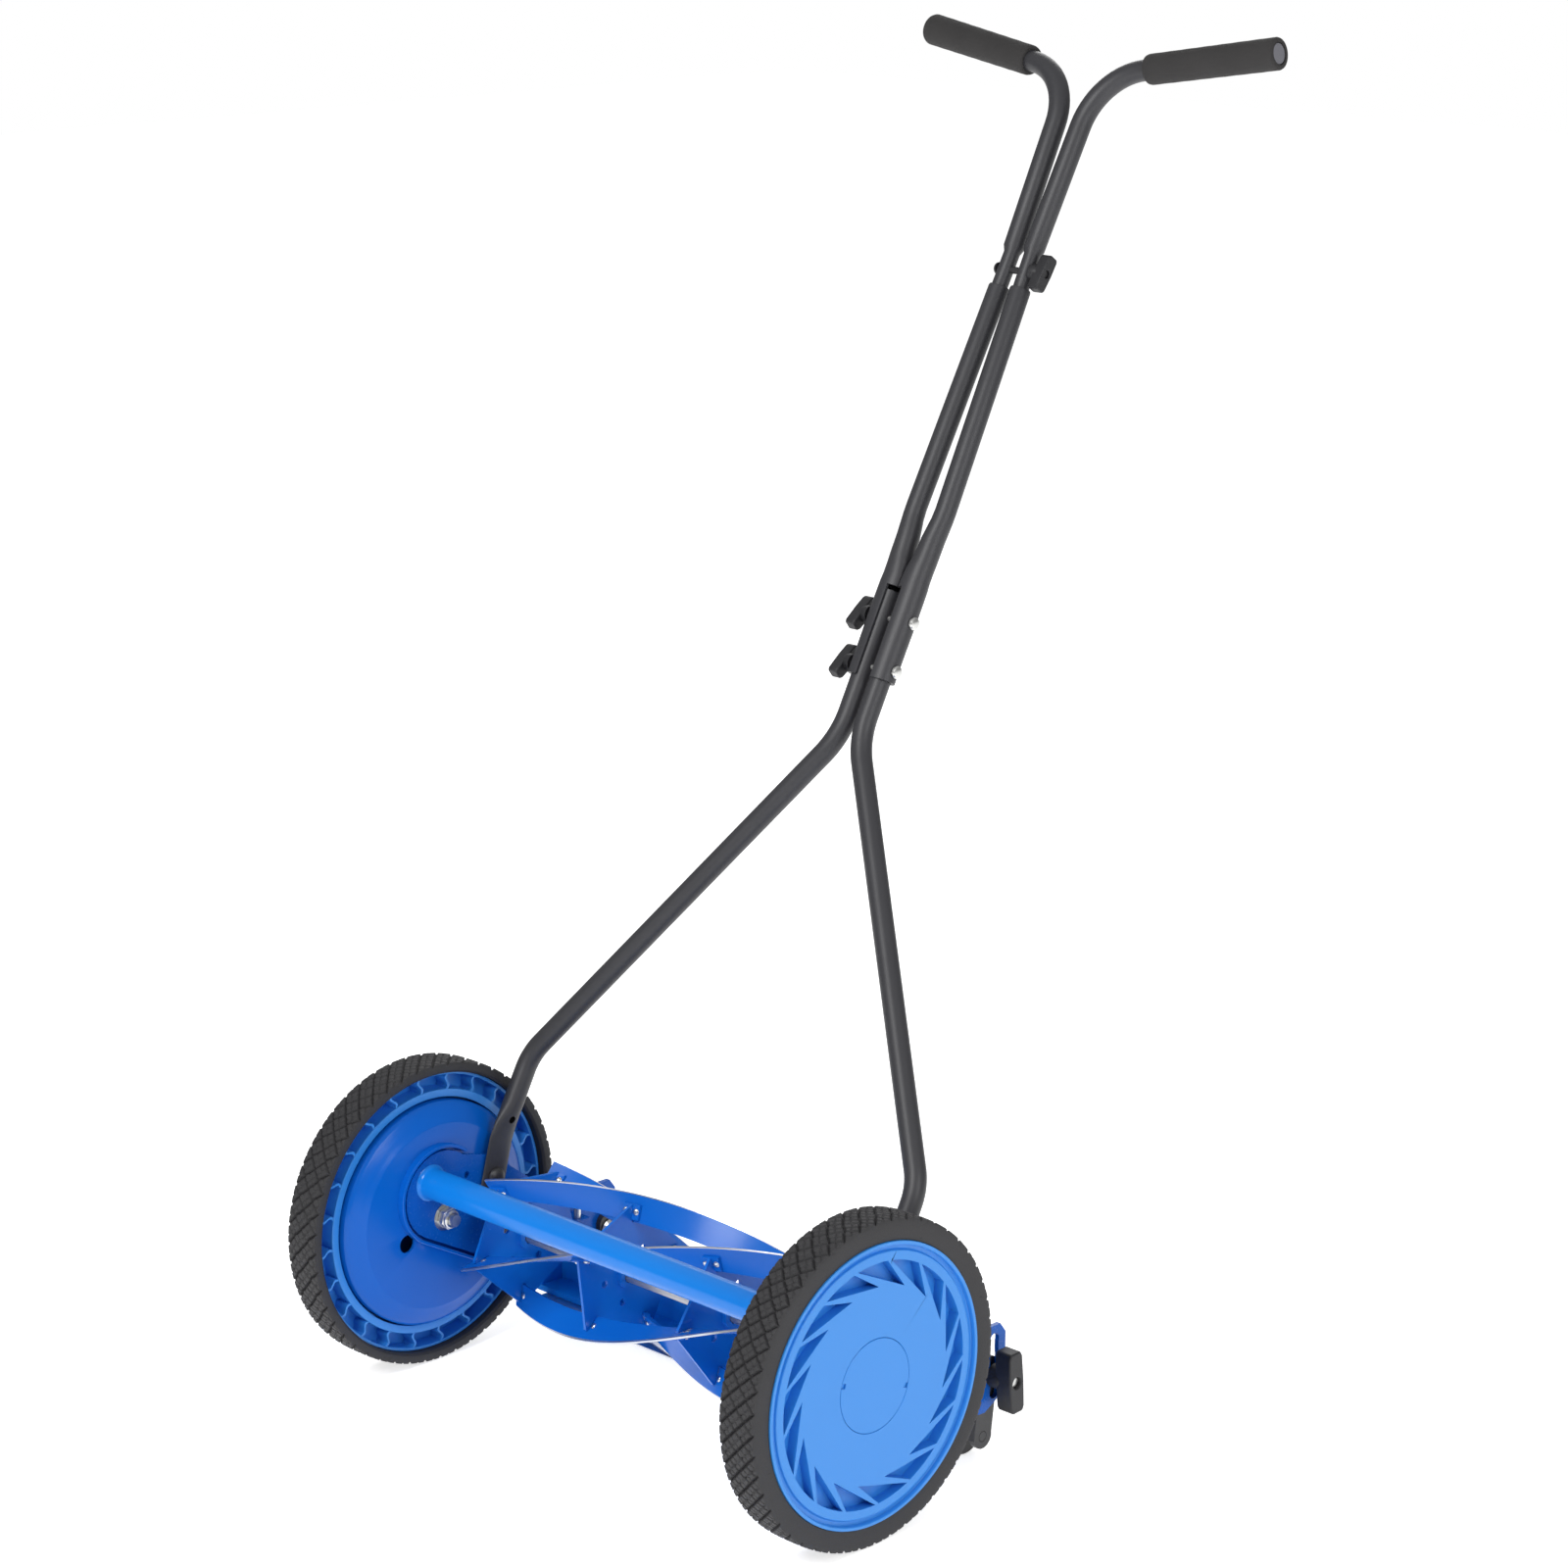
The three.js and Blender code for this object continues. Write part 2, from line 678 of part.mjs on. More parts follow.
// ---------------------------------------------------------------- cutter bar and bed knife
const [knifeEdgeY, knifeEdgeZ] = polar(reelRadius + knifeGap, knifeAngle, reelY, reelZ);
const knifeTop = knifeEdgeZ;
const barFrontY = knifeEdgeY + 21;
const barRearY = barFrontY + 28;
const barBottom = knifeTop + clearance;
function cutterBar() {
  const end = cutterHalfLength;
  const foot = box(-end, end, barFrontY, barRearY, barBottom, barBottom + cutterBarThickness);
  const upright = box(-end, end, barRearY - cutterBarThickness, barRearY, barBottom, barBottom + 24);
  const pieces = [foot, upright];
  const ear = polygon([
    [barFrontY, barBottom],
    [barRearY, barBottom],
    [adjusterY + 7, leverTop - 6],
    [adjusterY + 7, leverTop],
    [adjusterY - 6, leverTop],
    [cutterPivotY + 8, cutterPivotZ - 6],
    ...arc(10, 0, 180, cutterPivotY, cutterPivotZ, 8),
    [barFrontY + 4, barBottom + 16],
  ]);
  for (const sign of [-1, 1]) {
    pieces.push(slab(ear, sign * (end - 5), sign * end));
    pieces.push(rod(sign * (end - 1), sign * (plateOuterX - 0.3), 5, cutterPivotY, cutterPivotZ));
    const leverIn = Math.min(sign * (adjusterX - 6), sign * end);
    const leverOut = Math.max(sign * (adjusterX - 6), sign * end);
    pieces.push(box(leverIn, leverOut, adjusterY - 6, adjusterY + 7, leverTop - 6, leverTop));
  }
  return join(...pieces);
}

function bedKnife() {
  const bevel = polygon([
    [knifeEdgeY, knifeTop],
    [knifeEdgeY + knifeWidth, knifeTop],
    [knifeEdgeY + knifeWidth, knifeTop - knifeThickness],
    [knifeEdgeY + 2.5, knifeTop - knifeThickness],
  ].reverse());
  return slab(bevel, -bladeHalfLength - 4, bladeHalfLength + 4);
}

// The screws turn but don't advance, so their tips stand clear of the pad at full tilt.
const padRise = (adjusterY + screwRadius - cutterPivotY) * Math.sin(rad(cutterTilt));
function adjustingScrew() {
  const tip = leverTop + padRise + clearance;
  const length = 46;
  const shank = new THREE.CylinderGeometry(screwRadius, screwRadius, length, roundSides).rotateX(Math.PI / 2);
  const head = new THREE.CylinderGeometry(6.5, 6.5, 4.5, 6).rotateX(Math.PI / 2);
  const screw = join(shank.translate(0, 0, tip + length / 2), head.translate(0, 0, tip + length - 1));
  return screw.translate(adjusterX, adjusterY, 0);
}

add("cutter_bar", cutterBar(), bluePaint);
add("bed_knife", bedKnife(), steel);
for (const side of ["left", "right"]) {
  add("adjusting_screw_" + side, onSide(adjustingScrew(), side), zinc);
}

// ---------------------------------------------------------------- handle
const bendY = pivotY + footLength * Math.cos(rad(footAngle));
const bendZ = pivotZ + footLength * Math.sin(rad(footAngle));
function upHandle(x, run) {
  return new THREE.Vector3(x, bendY + run * Math.cos(rad(layAngle)), bendZ + run * Math.sin(rad(layAngle)));
}
const handleUp = upHandle(0, 1).sub(upHandle(0, 0));
const sideways = new THREE.Vector3(1, 0, 0);

// A path that hands ExtrudeGeometry one section at each end of a straight and a few round each bend.
class TubeRoute extends THREE.Curve {
  constructor(places, tangents) {
    super();
    this.places = places;
    this.tangents = tangents;
  }
  getSpacedPoints() {
    return this.places;
  }
  getTangentAt(u, target = new THREE.Vector3()) {
    return target.copy(this.tangents[Math.round(u * (this.places.length - 1))]);
  }
}

// stops: { at, bend, form }. A stop with a bend radius is a corner, one with a form is pressed to that section.
function route(stops) {
  const places = [];
  const tangents = [];
  const forms = [];
  stops.forEach((stop, i) => {
    const before = i > 0 ? stop.at.clone().sub(stops[i - 1].at).normalize() : null;
    const after = i < stops.length - 1 ? stops[i + 1].at.clone().sub(stop.at).normalize() : null;
    if (!stop.bend) {
      places.push(stop.at);
      tangents.push((before ?? after).clone().add(after ?? before).normalize());
      forms.push(stop.form ?? null);
      return;
    }
    const turn = before.angleTo(after);
    const reach = stop.bend * Math.tan(turn / 2);
    const start = stop.at.clone().addScaledVector(before, -reach);
    const inward = after.clone().sub(before).normalize();
    const centre = stop.at.clone().addScaledVector(inward, stop.bend / Math.cos(turn / 2));
    const axis = before.clone().cross(after).normalize();
    const steps = Math.max(2, Math.round(THREE.MathUtils.radToDeg(turn) / 18));
    for (let k = 0; k <= steps; k++) {
      const angle = (turn * k) / steps;
      places.push(start.clone().sub(centre).applyAxisAngle(axis, angle).add(centre));
      tangents.push(before.clone().applyAxisAngle(axis, angle));
      forms.push(null);
    }
  });
  return { places, tangents, forms };
}

// A form presses the round section: shift along X, then half widths of the outside and the inside.
function form(shift, outerX, outerN, innerX, innerN) {
  return { shift, outer: [outerX, outerN], inner: [innerX, innerN] };
}

function bentTube(stops, radius = tubeRadius, wall = tubeWall, sides = 10) {
  const { places, tangents, forms } = route(stops);
  const section = polygon(arc(radius, 0, 360 - 360 / sides, 0, 0, sides - 1));
  const hollow = arc(radius - wall, 0, 360 - 360 / sides, 0, 0, sides - 1);
  section.holes.push(new THREE.Path(hollow.map(([a, b]) => new THREE.Vector2(a, b))));
  const geometry = new THREE.ExtrudeGeometry(section, {
    steps: places.length - 1,
    extrudePath: new TubeRoute(places, tangents),
    bevelEnabled: false,
  });
  const position = geometry.attributes.position;
  const point = new THREE.Vector3();
  for (let i = 0; i < position.count; i++) {
    point.fromBufferAttribute(position, i);
    const stop = places.findIndex((place, k) => {
      const offset = point.clone().sub(place);
      return offset.length() < radius + 0.1 && Math.abs(offset.dot(tangents[k])) < 1e-3;
    });
    const pressed = forms[stop];
    if (!pressed) continue;
    const offset = point.clone().sub(places[stop]);
    const across = tangents[stop].clone().cross(sideways).normalize();
    const outside = offset.length() > radius - wall / 2;
    const [halfX, halfN] = outside ? pressed.outer : pressed.inner;
    const ownRadius = outside ? radius : radius - wall;
    point.copy(places[stop]);
    point.addScaledVector(sideways, pressed.shift + (offset.dot(sideways) * halfX) / ownRadius);
    point.addScaledVector(across, (offset.dot(across) * halfN) / ownRadius);
    position.setXYZ(i, point.x, point.y, point.z);
  }
  return geometry;
}

const footHalf = footThickness / 2;
const flat = form(0, footHalf, footHalfWidth, 0.35, footHalfWidth - 2);
const halfFlat = form(0, 5.6, 10.8, 4.4, 9.4);

function footPoint(distance) {
  const along = new THREE.Vector3(0, Math.cos(rad(footAngle)), Math.sin(rad(footAngle)));
  return new THREE.Vector3(handleFootX, pivotY, pivotZ).addScaledVector(along, distance);
}

function crossHole(run, radius, fromX = -60, toX = 60) {
  const place = upHandle(0, run);
  return bore(fromX, toX, radius, place.y, place.z, 8);
}

function lowerTube() {
  const tube = bentTube([
    { at: footPoint(-14), form: form(0, footHalf, footHalfWidth - 3, 0.35, footHalfWidth - 5) },
    { at: footPoint(-9), form: flat },
    { at: footPoint(footLength - 4), form: flat },
    { at: upHandle(handleFootX, 8), form: halfFlat },
    { at: upHandle(handleFootX, 24) },
    { at: upHandle(handleFootX, kneeRun), bend: kneeBend },
    { at: upHandle(gatherX, gatherRun), bend: gatherBend },
    { at: upHandle(gatherX, lowerTopRun) },
  ]);
  const spare = upHandle(0, 16);
  return cut(
    tube,
    bore(handleFootX - 5, handleFootX + 5, pivotBoltRadius + 0.3, pivotY, pivotZ, 16),
    bore(handleFootX - 12, handleFootX + 12, 3, spare.y, spare.z, 12),
    ...lowerBoltRuns.map((run) => crossHole(run, jointBoltRadius + clearance)),
  );
}

const channelHalfX = tubeRadius + 4;
const channelHalfN = tubeRadius + 2.4;
function middleX(run) {
  return middleLowX + ((middleHighX - middleLowX) * (run - roundRun)) / (middleTopRun - roundRun);
}

function middleTube() {
  const lineX = middleX;
  const channel = (run) => {
    const shift = gatherX - lineX(run);
    return form(shift, channelHalfX, channelHalfN, tubeRadius + 0.45, tubeRadius + 0.45);
  };
  const stop = (run, shape) => ({ at: upHandle(lineX(run), run), form: shape });
  const tube = bentTube([
    stop(middleFootRun, channel(middleFootRun)),
    stop(channelRun, channel(channelRun)),
    stop((channelRun + roundRun) / 2, form((gatherX - lineX(channelRun)) / 2, 9.8, 9.8, 8.4, 8.4)),
    stop(roundRun),
    stop(middleTopRun),
  ]);
  const low = upHandle(0, middleFootRun);
  const openLength = channelRun - middleFootRun + 6;
  const opening = new THREE.BoxGeometry(20, 60, openLength);
  opening.rotateX(rad(layAngle) - Math.PI / 2);
  opening.translate(gatherX - 12.5, low.y, low.z);
  opening.translate(0, (handleUp.y * openLength) / 2 - handleUp.y, (handleUp.z * openLength) / 2 - handleUp.z);
  // The two middle tubes lie side by side here, pressed flat where they meet.
  const meetTop = upHandle(0, roundRun);
  const mate = box(-channelHalfX, clearance, low.y - 30, meetTop.y + 30, low.z - 30, meetTop.z + 30);
  return cut(
    tube,
    opening,
    mate,
    ...lowerBoltRuns.map((run) => crossHole(run, jointBoltRadius + clearance)),
  );
}

const gripDirection = new THREE.Vector3(
  Math.cos(rad(gripRise)) * Math.cos(rad(gripBack)),
  Math.cos(rad(gripRise)) * Math.sin(rad(gripBack)),
  Math.sin(rad(gripRise)),
);
const gripCorner = upHandle(gripCornerX, gripCornerRun);
const gripStart = gripCorner.clone().addScaledVector(gripDirection, (gripInnerX - gripCornerX) / gripDirection.x);
const gripEnd = gripStart.clone().addScaledVector(gripDirection, gripLength);

function upperTube() {
  const neckX = middleX(neckEndRun);
  const slope = (gripCornerX - neckX) / (gripCornerRun - neckEndRun);
  const lineX = (run) => neckX + slope * (run - neckEndRun);
  const neck = form(0, neckRadius, neckRadius, neckRadius - tubeWall, neckRadius - tubeWall);
  const onLine = (run) => ({ at: upHandle(middleX(run), run), form: neck });
  const stop = (run, shape) => ({ at: upHandle(lineX(run), run), form: shape });
  const tube = bentTube([
    onLine(neckFootRun),
    onLine(neckEndRun),
    stop(neckEndRun + 4),
    { at: gripCorner, bend: gripBend },
    { at: gripEnd.clone().addScaledVector(gripDirection, -2) },
  ]);
  return cut(tube, crossHole(upperBoltRun, jointBoltRadius + clearance));
}

// A straight sleeve or rod along the grip.
function alongGrip(profile, sides = roundSides) {
  const geometry = turned(profile, sides);
  const aim = new THREE.Quaternion().setFromUnitVectors(sideways, gripDirection);
  return geometry.applyQuaternion(aim).translate(gripStart.x, gripStart.y, gripStart.z);
}

function grip() {
  const inside = (tubeRadius + clearance) / Math.cos(Math.PI / roundSides);
  return alongGrip([
    [0, inside],
    [0, gripRadius - 0.6],
    [3, gripRadius],
    [gripLength - 1, gripRadius + 0.6],
    [gripLength, gripRadius],
    [gripLength, inside],
  ]);
}

for (const side of ["left", "right"]) {
  add("lower_tube_" + side, onSide(lowerTube(), side), greyPaint);
  add("middle_tube_" + side, onSide(middleTube(), side), greyPaint);
  add("upper_tube_" + side, onSide(upperTube(), side), greyPaint);
  add("foam_grip_" + side, onSide(grip(), side), foam);
}

// ---------------------------------------------------------------- bolts and wing knobs
// A wing knob about X at the origin, its foot at x = 0 and its wings along Z.
function wingKnob(length, width, depth, holeRadius) {
  const wing = polygon([
    [-width * 0.34, -length / 2],
    [width * 0.34, -length / 2],
    [width * 0.44, -length / 2 + 3],
    [width / 2, 0],
    [width * 0.44, length / 2 - 3],
    [width * 0.34, length / 2],
    [-width * 0.34, length / 2],
    [-width * 0.44, length / 2 - 3],
    [-width / 2, 0],
    [-width * 0.44, -length / 2 + 3],
  ]);
  const stem = depth * 0.3;
  const body = join(slab(wing, stem, depth), rod(0, depth * 0.7, width * 0.62));
  return cut(body, bore(-1, depth + 1, holeRadius, 0, 0, 10));
}

function jointBolt(headX, tipX, headRadius) {
  const inward = Math.sign(tipX - headX);
  const head = rod(headX - inward * 3.2, headX, headRadius);
  return join(head, rod(headX - inward, tipX, jointBoltRadius));
}

function placed(geometry, run, turnDegrees = 0) {
  const place = upHandle(0, run);
  return geometry.rotateX(rad(turnDegrees)).translate(0, place.y, place.z);
}

const channelFace = gatherX + channelHalfX + clearance;
const knobDepth = 15;
const knobHole = jointBoltRadius + clearance;
lowerBoltRuns.forEach((run, i) => {
  const bolt = jointBolt(channelFace, -channelFace - knobDepth + 2, 5.2);
  add("lower_joint_bolt_" + (i + 1), placed(bolt, run), zinc);
  const knob = mirrored(wingKnob(30, 12, knobDepth, knobHole)).translate(-channelFace, 0, 0);
  add("lower_joint_knob_" + (i + 1), placed(knob, run, layAngle - 90 - 25), blackPlastic);
});
const neckFace = middleX(upperBoltRun) + neckRadius + clearance;
add("upper_joint_bolt", placed(jointBolt(-neckFace, neckFace + knobDepth - 2, 5.2), upperBoltRun), blackPlastic);
const upperKnob = wingKnob(30, 12, knobDepth, knobHole).translate(neckFace, 0, 0);
add("upper_joint_knob", placed(upperKnob, upperBoltRun, -35), blackPlastic);

// ---------------------------------------------------------------- rear roller
// The brackets hang just inside the side plates, so the shaft rises past the plates at every height.
const bracketFace = plateInnerX - clearance;
const bracketX = bracketFace - bracketThickness;
const rollerZ = groundZ + rollerRadius;
function rollerBracket() {
  const half = bracketWidth / 2;
  const outline = polygon([
    ...arc(half, 10, 190, heightRowY, heightBoltZ + 4, 8),
    ...arc(half, 190, 370, rollerY, rollerZ, 8),
  ]);
  return cut(
    slab(outline, bracketX, bracketFace),
    bore(bracketX - 1, bracketFace + 1, heightBoltRadius + clearance, heightRowY, heightBoltZ, 16),
    bore(bracketX - 1, bracketFace + 1, rollerShaftRadius + clearance, rollerY, rollerZ, 16),
  );
}

const heightKnobDepth = 23.5;
const heightKnobFoot = plateOuterX + clearance;
function heightBolt() {
  const headFace = bracketX - clearance;
  return join(
    turned([[headFace - 3.6, 0], [headFace - 3.6, 4], [headFace - 1, 8.5], [headFace, 8.5], [headFace, 0]]),
    rod(headFace - 1, heightKnobFoot + heightKnobDepth - 3, heightBoltRadius),
  ).translate(0, heightRowY, heightBoltZ);
}

function heightKnob() {
  const knob = wingKnob(50, 16, heightKnobDepth, heightBoltRadius + clearance);
  return knob.rotateX(rad(4)).translate(heightKnobFoot, heightRowY, heightBoltZ);
}

function roller() {
  const corner = 1 / Math.cos(Math.PI / 24);
  const eye = (rollerShaftRadius + runningGap) * corner;
  const end = rollerHalfLength;
  const profile = [
    [-end, eye],
    [-end, (rollerRadius - 2) * corner],
    [-end + 2, rollerRadius * corner],
    [end - 2, rollerRadius * corner],
    [end, (rollerRadius - 2) * corner],
    [end, eye],
  ];
  return turned(profile, 24, Math.PI / 24).translate(0, rollerY, rollerZ);
}

const collarFace = bracketX - clearance;
const rollerShaft = join(
  rod(-bracketFace, bracketFace, rollerShaftRadius),
  ...[-1, 1].map((sign) => rod(sign * (collarFace - 3), sign * collarFace, 7)),
).translate(0, rollerY, rollerZ);
add("roller_shaft", rollerShaft, zinc);
add("rear_roller", roller(), blackPlastic);
for (const side of ["left", "right"]) {
  add("roller_bracket_" + side, onSide(rollerBracket(), side), blackPlastic);
  add("height_bolt_" + side, onSide(heightBolt(), side), zinc);
  add("height_knob_" + side, onSide(heightKnob(), side), blackPlastic);
}

// The origin is the middle of the whole mower's footprint, on the ground.
mower.updateMatrixWorld(true);
const extent = new THREE.Box3().setFromObject(mower, true);
const middle = extent.getCenter(new THREE.Vector3());
mower.position.set(-middle.x, -middle.y, -extent.min.z);

const part = new THREE.Group();
part.add(mower);
export default part;
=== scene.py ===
import math
import bmesh
import bpy
import numpy as np
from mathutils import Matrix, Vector


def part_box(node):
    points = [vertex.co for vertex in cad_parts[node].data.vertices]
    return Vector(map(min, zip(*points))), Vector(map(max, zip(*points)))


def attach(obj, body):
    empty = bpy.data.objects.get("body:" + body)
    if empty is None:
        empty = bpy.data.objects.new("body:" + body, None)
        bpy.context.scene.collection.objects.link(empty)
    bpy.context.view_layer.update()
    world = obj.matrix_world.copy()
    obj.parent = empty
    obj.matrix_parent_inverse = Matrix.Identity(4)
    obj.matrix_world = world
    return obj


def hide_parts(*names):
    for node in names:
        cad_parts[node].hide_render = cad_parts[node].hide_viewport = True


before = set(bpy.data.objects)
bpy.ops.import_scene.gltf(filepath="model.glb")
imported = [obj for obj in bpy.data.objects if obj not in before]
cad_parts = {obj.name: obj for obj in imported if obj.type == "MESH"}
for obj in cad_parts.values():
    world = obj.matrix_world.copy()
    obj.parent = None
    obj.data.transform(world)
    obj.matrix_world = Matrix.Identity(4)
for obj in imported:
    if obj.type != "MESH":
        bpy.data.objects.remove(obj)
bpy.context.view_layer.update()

# ---- Camera: a long lens at chest height, about three metres off the front corner of the mower
# and tipped down a little, so that parallel edges stay nearly parallel.
tyre_low, tyre_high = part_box("tyre_left")
axle_y = (tyre_low[1] + tyre_high[1]) / 2
axle_z = (tyre_low[2] + tyre_high[2]) / 2
camera_turn = math.radians(44.932)
camera_tilt = math.radians(14.866)
camera = bpy.data.objects.new("camera", bpy.data.cameras.new("camera"))
bpy.context.collection.objects.link(camera)
camera.data.lens = 91.38
camera.data.sensor_width = 36
camera.location = (2.1139, axle_y - 1.9495, 1.2936)
camera.rotation_euler = (math.pi / 2 - camera_tilt, 0, camera_turn)
bpy.context.scene.camera = camera

# ---- Studio: a white floor under a bright even sky, and three broad soft lamps, the main one in front,
# one at the side and one behind, so that curved paint shows long soft highlights.
world = bpy.data.worlds.new("studio")
bpy.context.scene.world = world
world.use_nodes = True
sky, air = world.node_tree.nodes, world.node_tree.links
sky["Background"].inputs["Color"].default_value = (1, 1, 1, 1)
sky["Background"].inputs["Strength"].default_value = 1.0
# The backdrop looks white; the light that reaches the mower is bright from above and dim near the floor.
room = sky.new("ShaderNodeBackground")
height = sky.new("ShaderNodeSeparateXYZ")
direction = sky.new("ShaderNodeTexCoord")
shade_ramp = sky.new("ShaderNodeMapRange")
shade_ramp.inputs["From Min"].default_value = -0.1
shade_ramp.inputs["From Max"].default_value = 0.9
shade_ramp.inputs["To Min"].default_value = 0.18
shade_ramp.inputs["To Max"].default_value = 0.72
seen = sky.new("ShaderNodeLightPath")
pick = sky.new("ShaderNodeMixShader")
air.new(direction.outputs["Generated"], height.inputs["Vector"])
air.new(height.outputs["Z"], shade_ramp.inputs["Value"])
air.new(shade_ramp.outputs["Result"], room.inputs["Strength"])
air.new(seen.outputs["Is Camera Ray"], pick.inputs["Fac"])
air.new(room.outputs["Background"], pick.inputs[1])
air.new(sky["Background"].outputs["Background"], pick.inputs[2])
air.new(pick.outputs["Shader"], sky["World Output"].inputs["Surface"])
bpy.context.scene.view_settings.view_transform = "Standard"


def soft_lamp(name, size, power, place, aim):
    lamp = bpy.data.objects.new(name, bpy.data.lights.new(name, "AREA"))
    lamp.data.size = size
    lamp.data.energy = power
    lamp.location = place
    lamp.rotation_euler = (Vector(place) - Vector(aim)).to_track_quat("Z", "Y").to_euler()
    bpy.context.collection.objects.link(lamp)


soft_lamp("key lamp", 1.2, 56, (0.2, -2.4, 2.4), (0, 0, 0.3))
soft_lamp("side lamp", 1.3, 24, (2.6, -0.4, 1.6), (0, 0, 0.3))
soft_lamp("rear lamp", 1.5, 26, (-1.6, 2.2, 2.0), (0, 0, 0.4))
floor_mesh = bpy.data.meshes.new("studio_floor")
floor_half = 9
floor_corners = [(-floor_half, -floor_half, 0), (floor_half, -floor_half, 0),
                 (floor_half, floor_half, 0), (-floor_half, floor_half, 0)]
floor_mesh.from_pydata(floor_corners, [], [(0, 1, 2, 3)])
floor = bpy.data.objects.new("studio_floor", floor_mesh)
bpy.context.collection.objects.link(floor)
floor_paint = bpy.data.materials.new("floor paint")
floor_paint.use_nodes = True
floor_shader = floor_paint.node_tree.nodes["Principled BSDF"]
floor_shader.inputs["Base Color"].default_value = (0.8, 0.8, 0.8, 1)
floor_shader.inputs["Emission Color"].default_value = (1, 1, 1, 1)
floor_shader.inputs["Emission Strength"].default_value = 0.7
floor_shader.inputs["Roughness"].default_value = 0.9
floor_mesh.materials.append(floor_paint)

# ---- Finish group: fine grain, soft blotches from handling, and thin scuffs.
# Every material places it with its own scales, so paint, plastic, rubber and foam differ.
finish = bpy.data.node_groups.new("Surface finish", "ShaderNodeTree")
for label, value in (("Grain Scale", 800.0), ("Blotch Scale", 12.0), ("Scuff Scale", 60.0), ("Depth", 0.1)):
    finish.interface.new_socket(label, in_out="INPUT", socket_type="NodeSocketFloat").default_value = value
for label in ("Grain", "Blotch", "Scuff"):
    finish.interface.new_socket(label, in_out="OUTPUT", socket_type="NodeSocketFloat")
finish.interface.new_socket("Normal", in_out="OUTPUT", socket_type="NodeSocketVector")
given = finish.nodes.new("NodeGroupInput")
result = finish.nodes.new("NodeGroupOutput")
where = finish.nodes.new("ShaderNodeTexCoord")
for label, detail in (("Grain", 3), ("Blotch", 4), ("Scuff", 2)):
    noise = finish.nodes.new("ShaderNodeTexNoise")
    noise.label = label
    noise.inputs["Detail"].default_value = detail
    finish.links.new(given.outputs[label + " Scale"], noise.inputs["Scale"])
    if label == "Scuff":
        stretch = finish.nodes.new("ShaderNodeMapping")
        stretch.inputs["Scale"].default_value = (0.25, 1, 3)
        finish.links.new(where.outputs["Object"], stretch.inputs["Vector"])
        finish.links.new(stretch.outputs["Vector"], noise.inputs["Vector"])
        narrow = finish.nodes.new("ShaderNodeMapRange")
        narrow.inputs["From Min"].default_value = 0.62
        narrow.inputs["From Max"].default_value = 0.74
        finish.links.new(noise.outputs["Fac"], narrow.inputs["Value"])
        finish.links.new(narrow.outputs["Result"], result.inputs["Scuff"])
    else:
        finish.links.new(where.outputs["Object"], noise.inputs["Vector"])
        finish.links.new(noise.outputs["Fac"], result.inputs[label])
    if label == "Grain":
        bump = finish.nodes.new("ShaderNodeBump")
        bump.inputs["Distance"].default_value = 0.0004
        finish.links.new(noise.outputs["Fac"], bump.inputs["Height"])
        finish.links.new(given.outputs["Depth"], bump.inputs["Strength"])
        finish.links.new(bump.outputs["Normal"], result.inputs["Normal"])


def surface(name, colour, worn, smooth, rough, grain, blotch, scuff, depth, metal=0, shine=0.5):
    """A material whose colour drifts from colour to worn and whose roughness runs from smooth to rough."""
    material = bpy.data.materials.new(name)
    material.use_nodes = True
    nodes, links = material.node_tree.nodes, material.node_tree.links
    shader = nodes["Principled BSDF"]
    shader.inputs["Metallic"].default_value = metal
    shader.inputs["Specular IOR Level"].default_value = shine
    effect = nodes.new("ShaderNodeGroup")
    effect.node_tree = finish
    scales = (("Grain Scale", grain), ("Blotch Scale", blotch), ("Scuff Scale", scuff), ("Depth", depth))
    for label, value in scales:
        effect.inputs[label].default_value = value
    mix = nodes.new("ShaderNodeMix")
    mix.data_type = "RGBA"
    mix.inputs["A"].default_value = (*colour, 1)
    mix.inputs["B"].default_value = (*worn, 1)
    links.new(effect.outputs["Blotch"], mix.inputs["Factor"])
    links.new(mix.outputs["Result"], shader.inputs["Base Color"])
    gloss = nodes.new("ShaderNodeMapRange")
    gloss.inputs["To Min"].default_value = smooth
    gloss.inputs["To Max"].default_value = rough
    blend = nodes.new("ShaderNodeMath")
    blend.operation = "MAXIMUM"
    links.new(effect.outputs["Grain"], blend.inputs[0])
    links.new(effect.outputs["Scuff"], blend.inputs[1])
    links.new(blend.outputs["Value"], gloss.inputs["Value"])
    links.new(gloss.outputs["Result"], shader.inputs["Roughness"])
    links.new(effect.outputs["Normal"], shader.inputs["Normal"])
    return material


# ---- Tyres: solid black rubber, moulded with a criss-cross block tread that runs onto the shoulders
# and smooth side walls. Each is stretched over its rim. Sizes here and below are mm from the axle's middle.
sharp_edge = 32


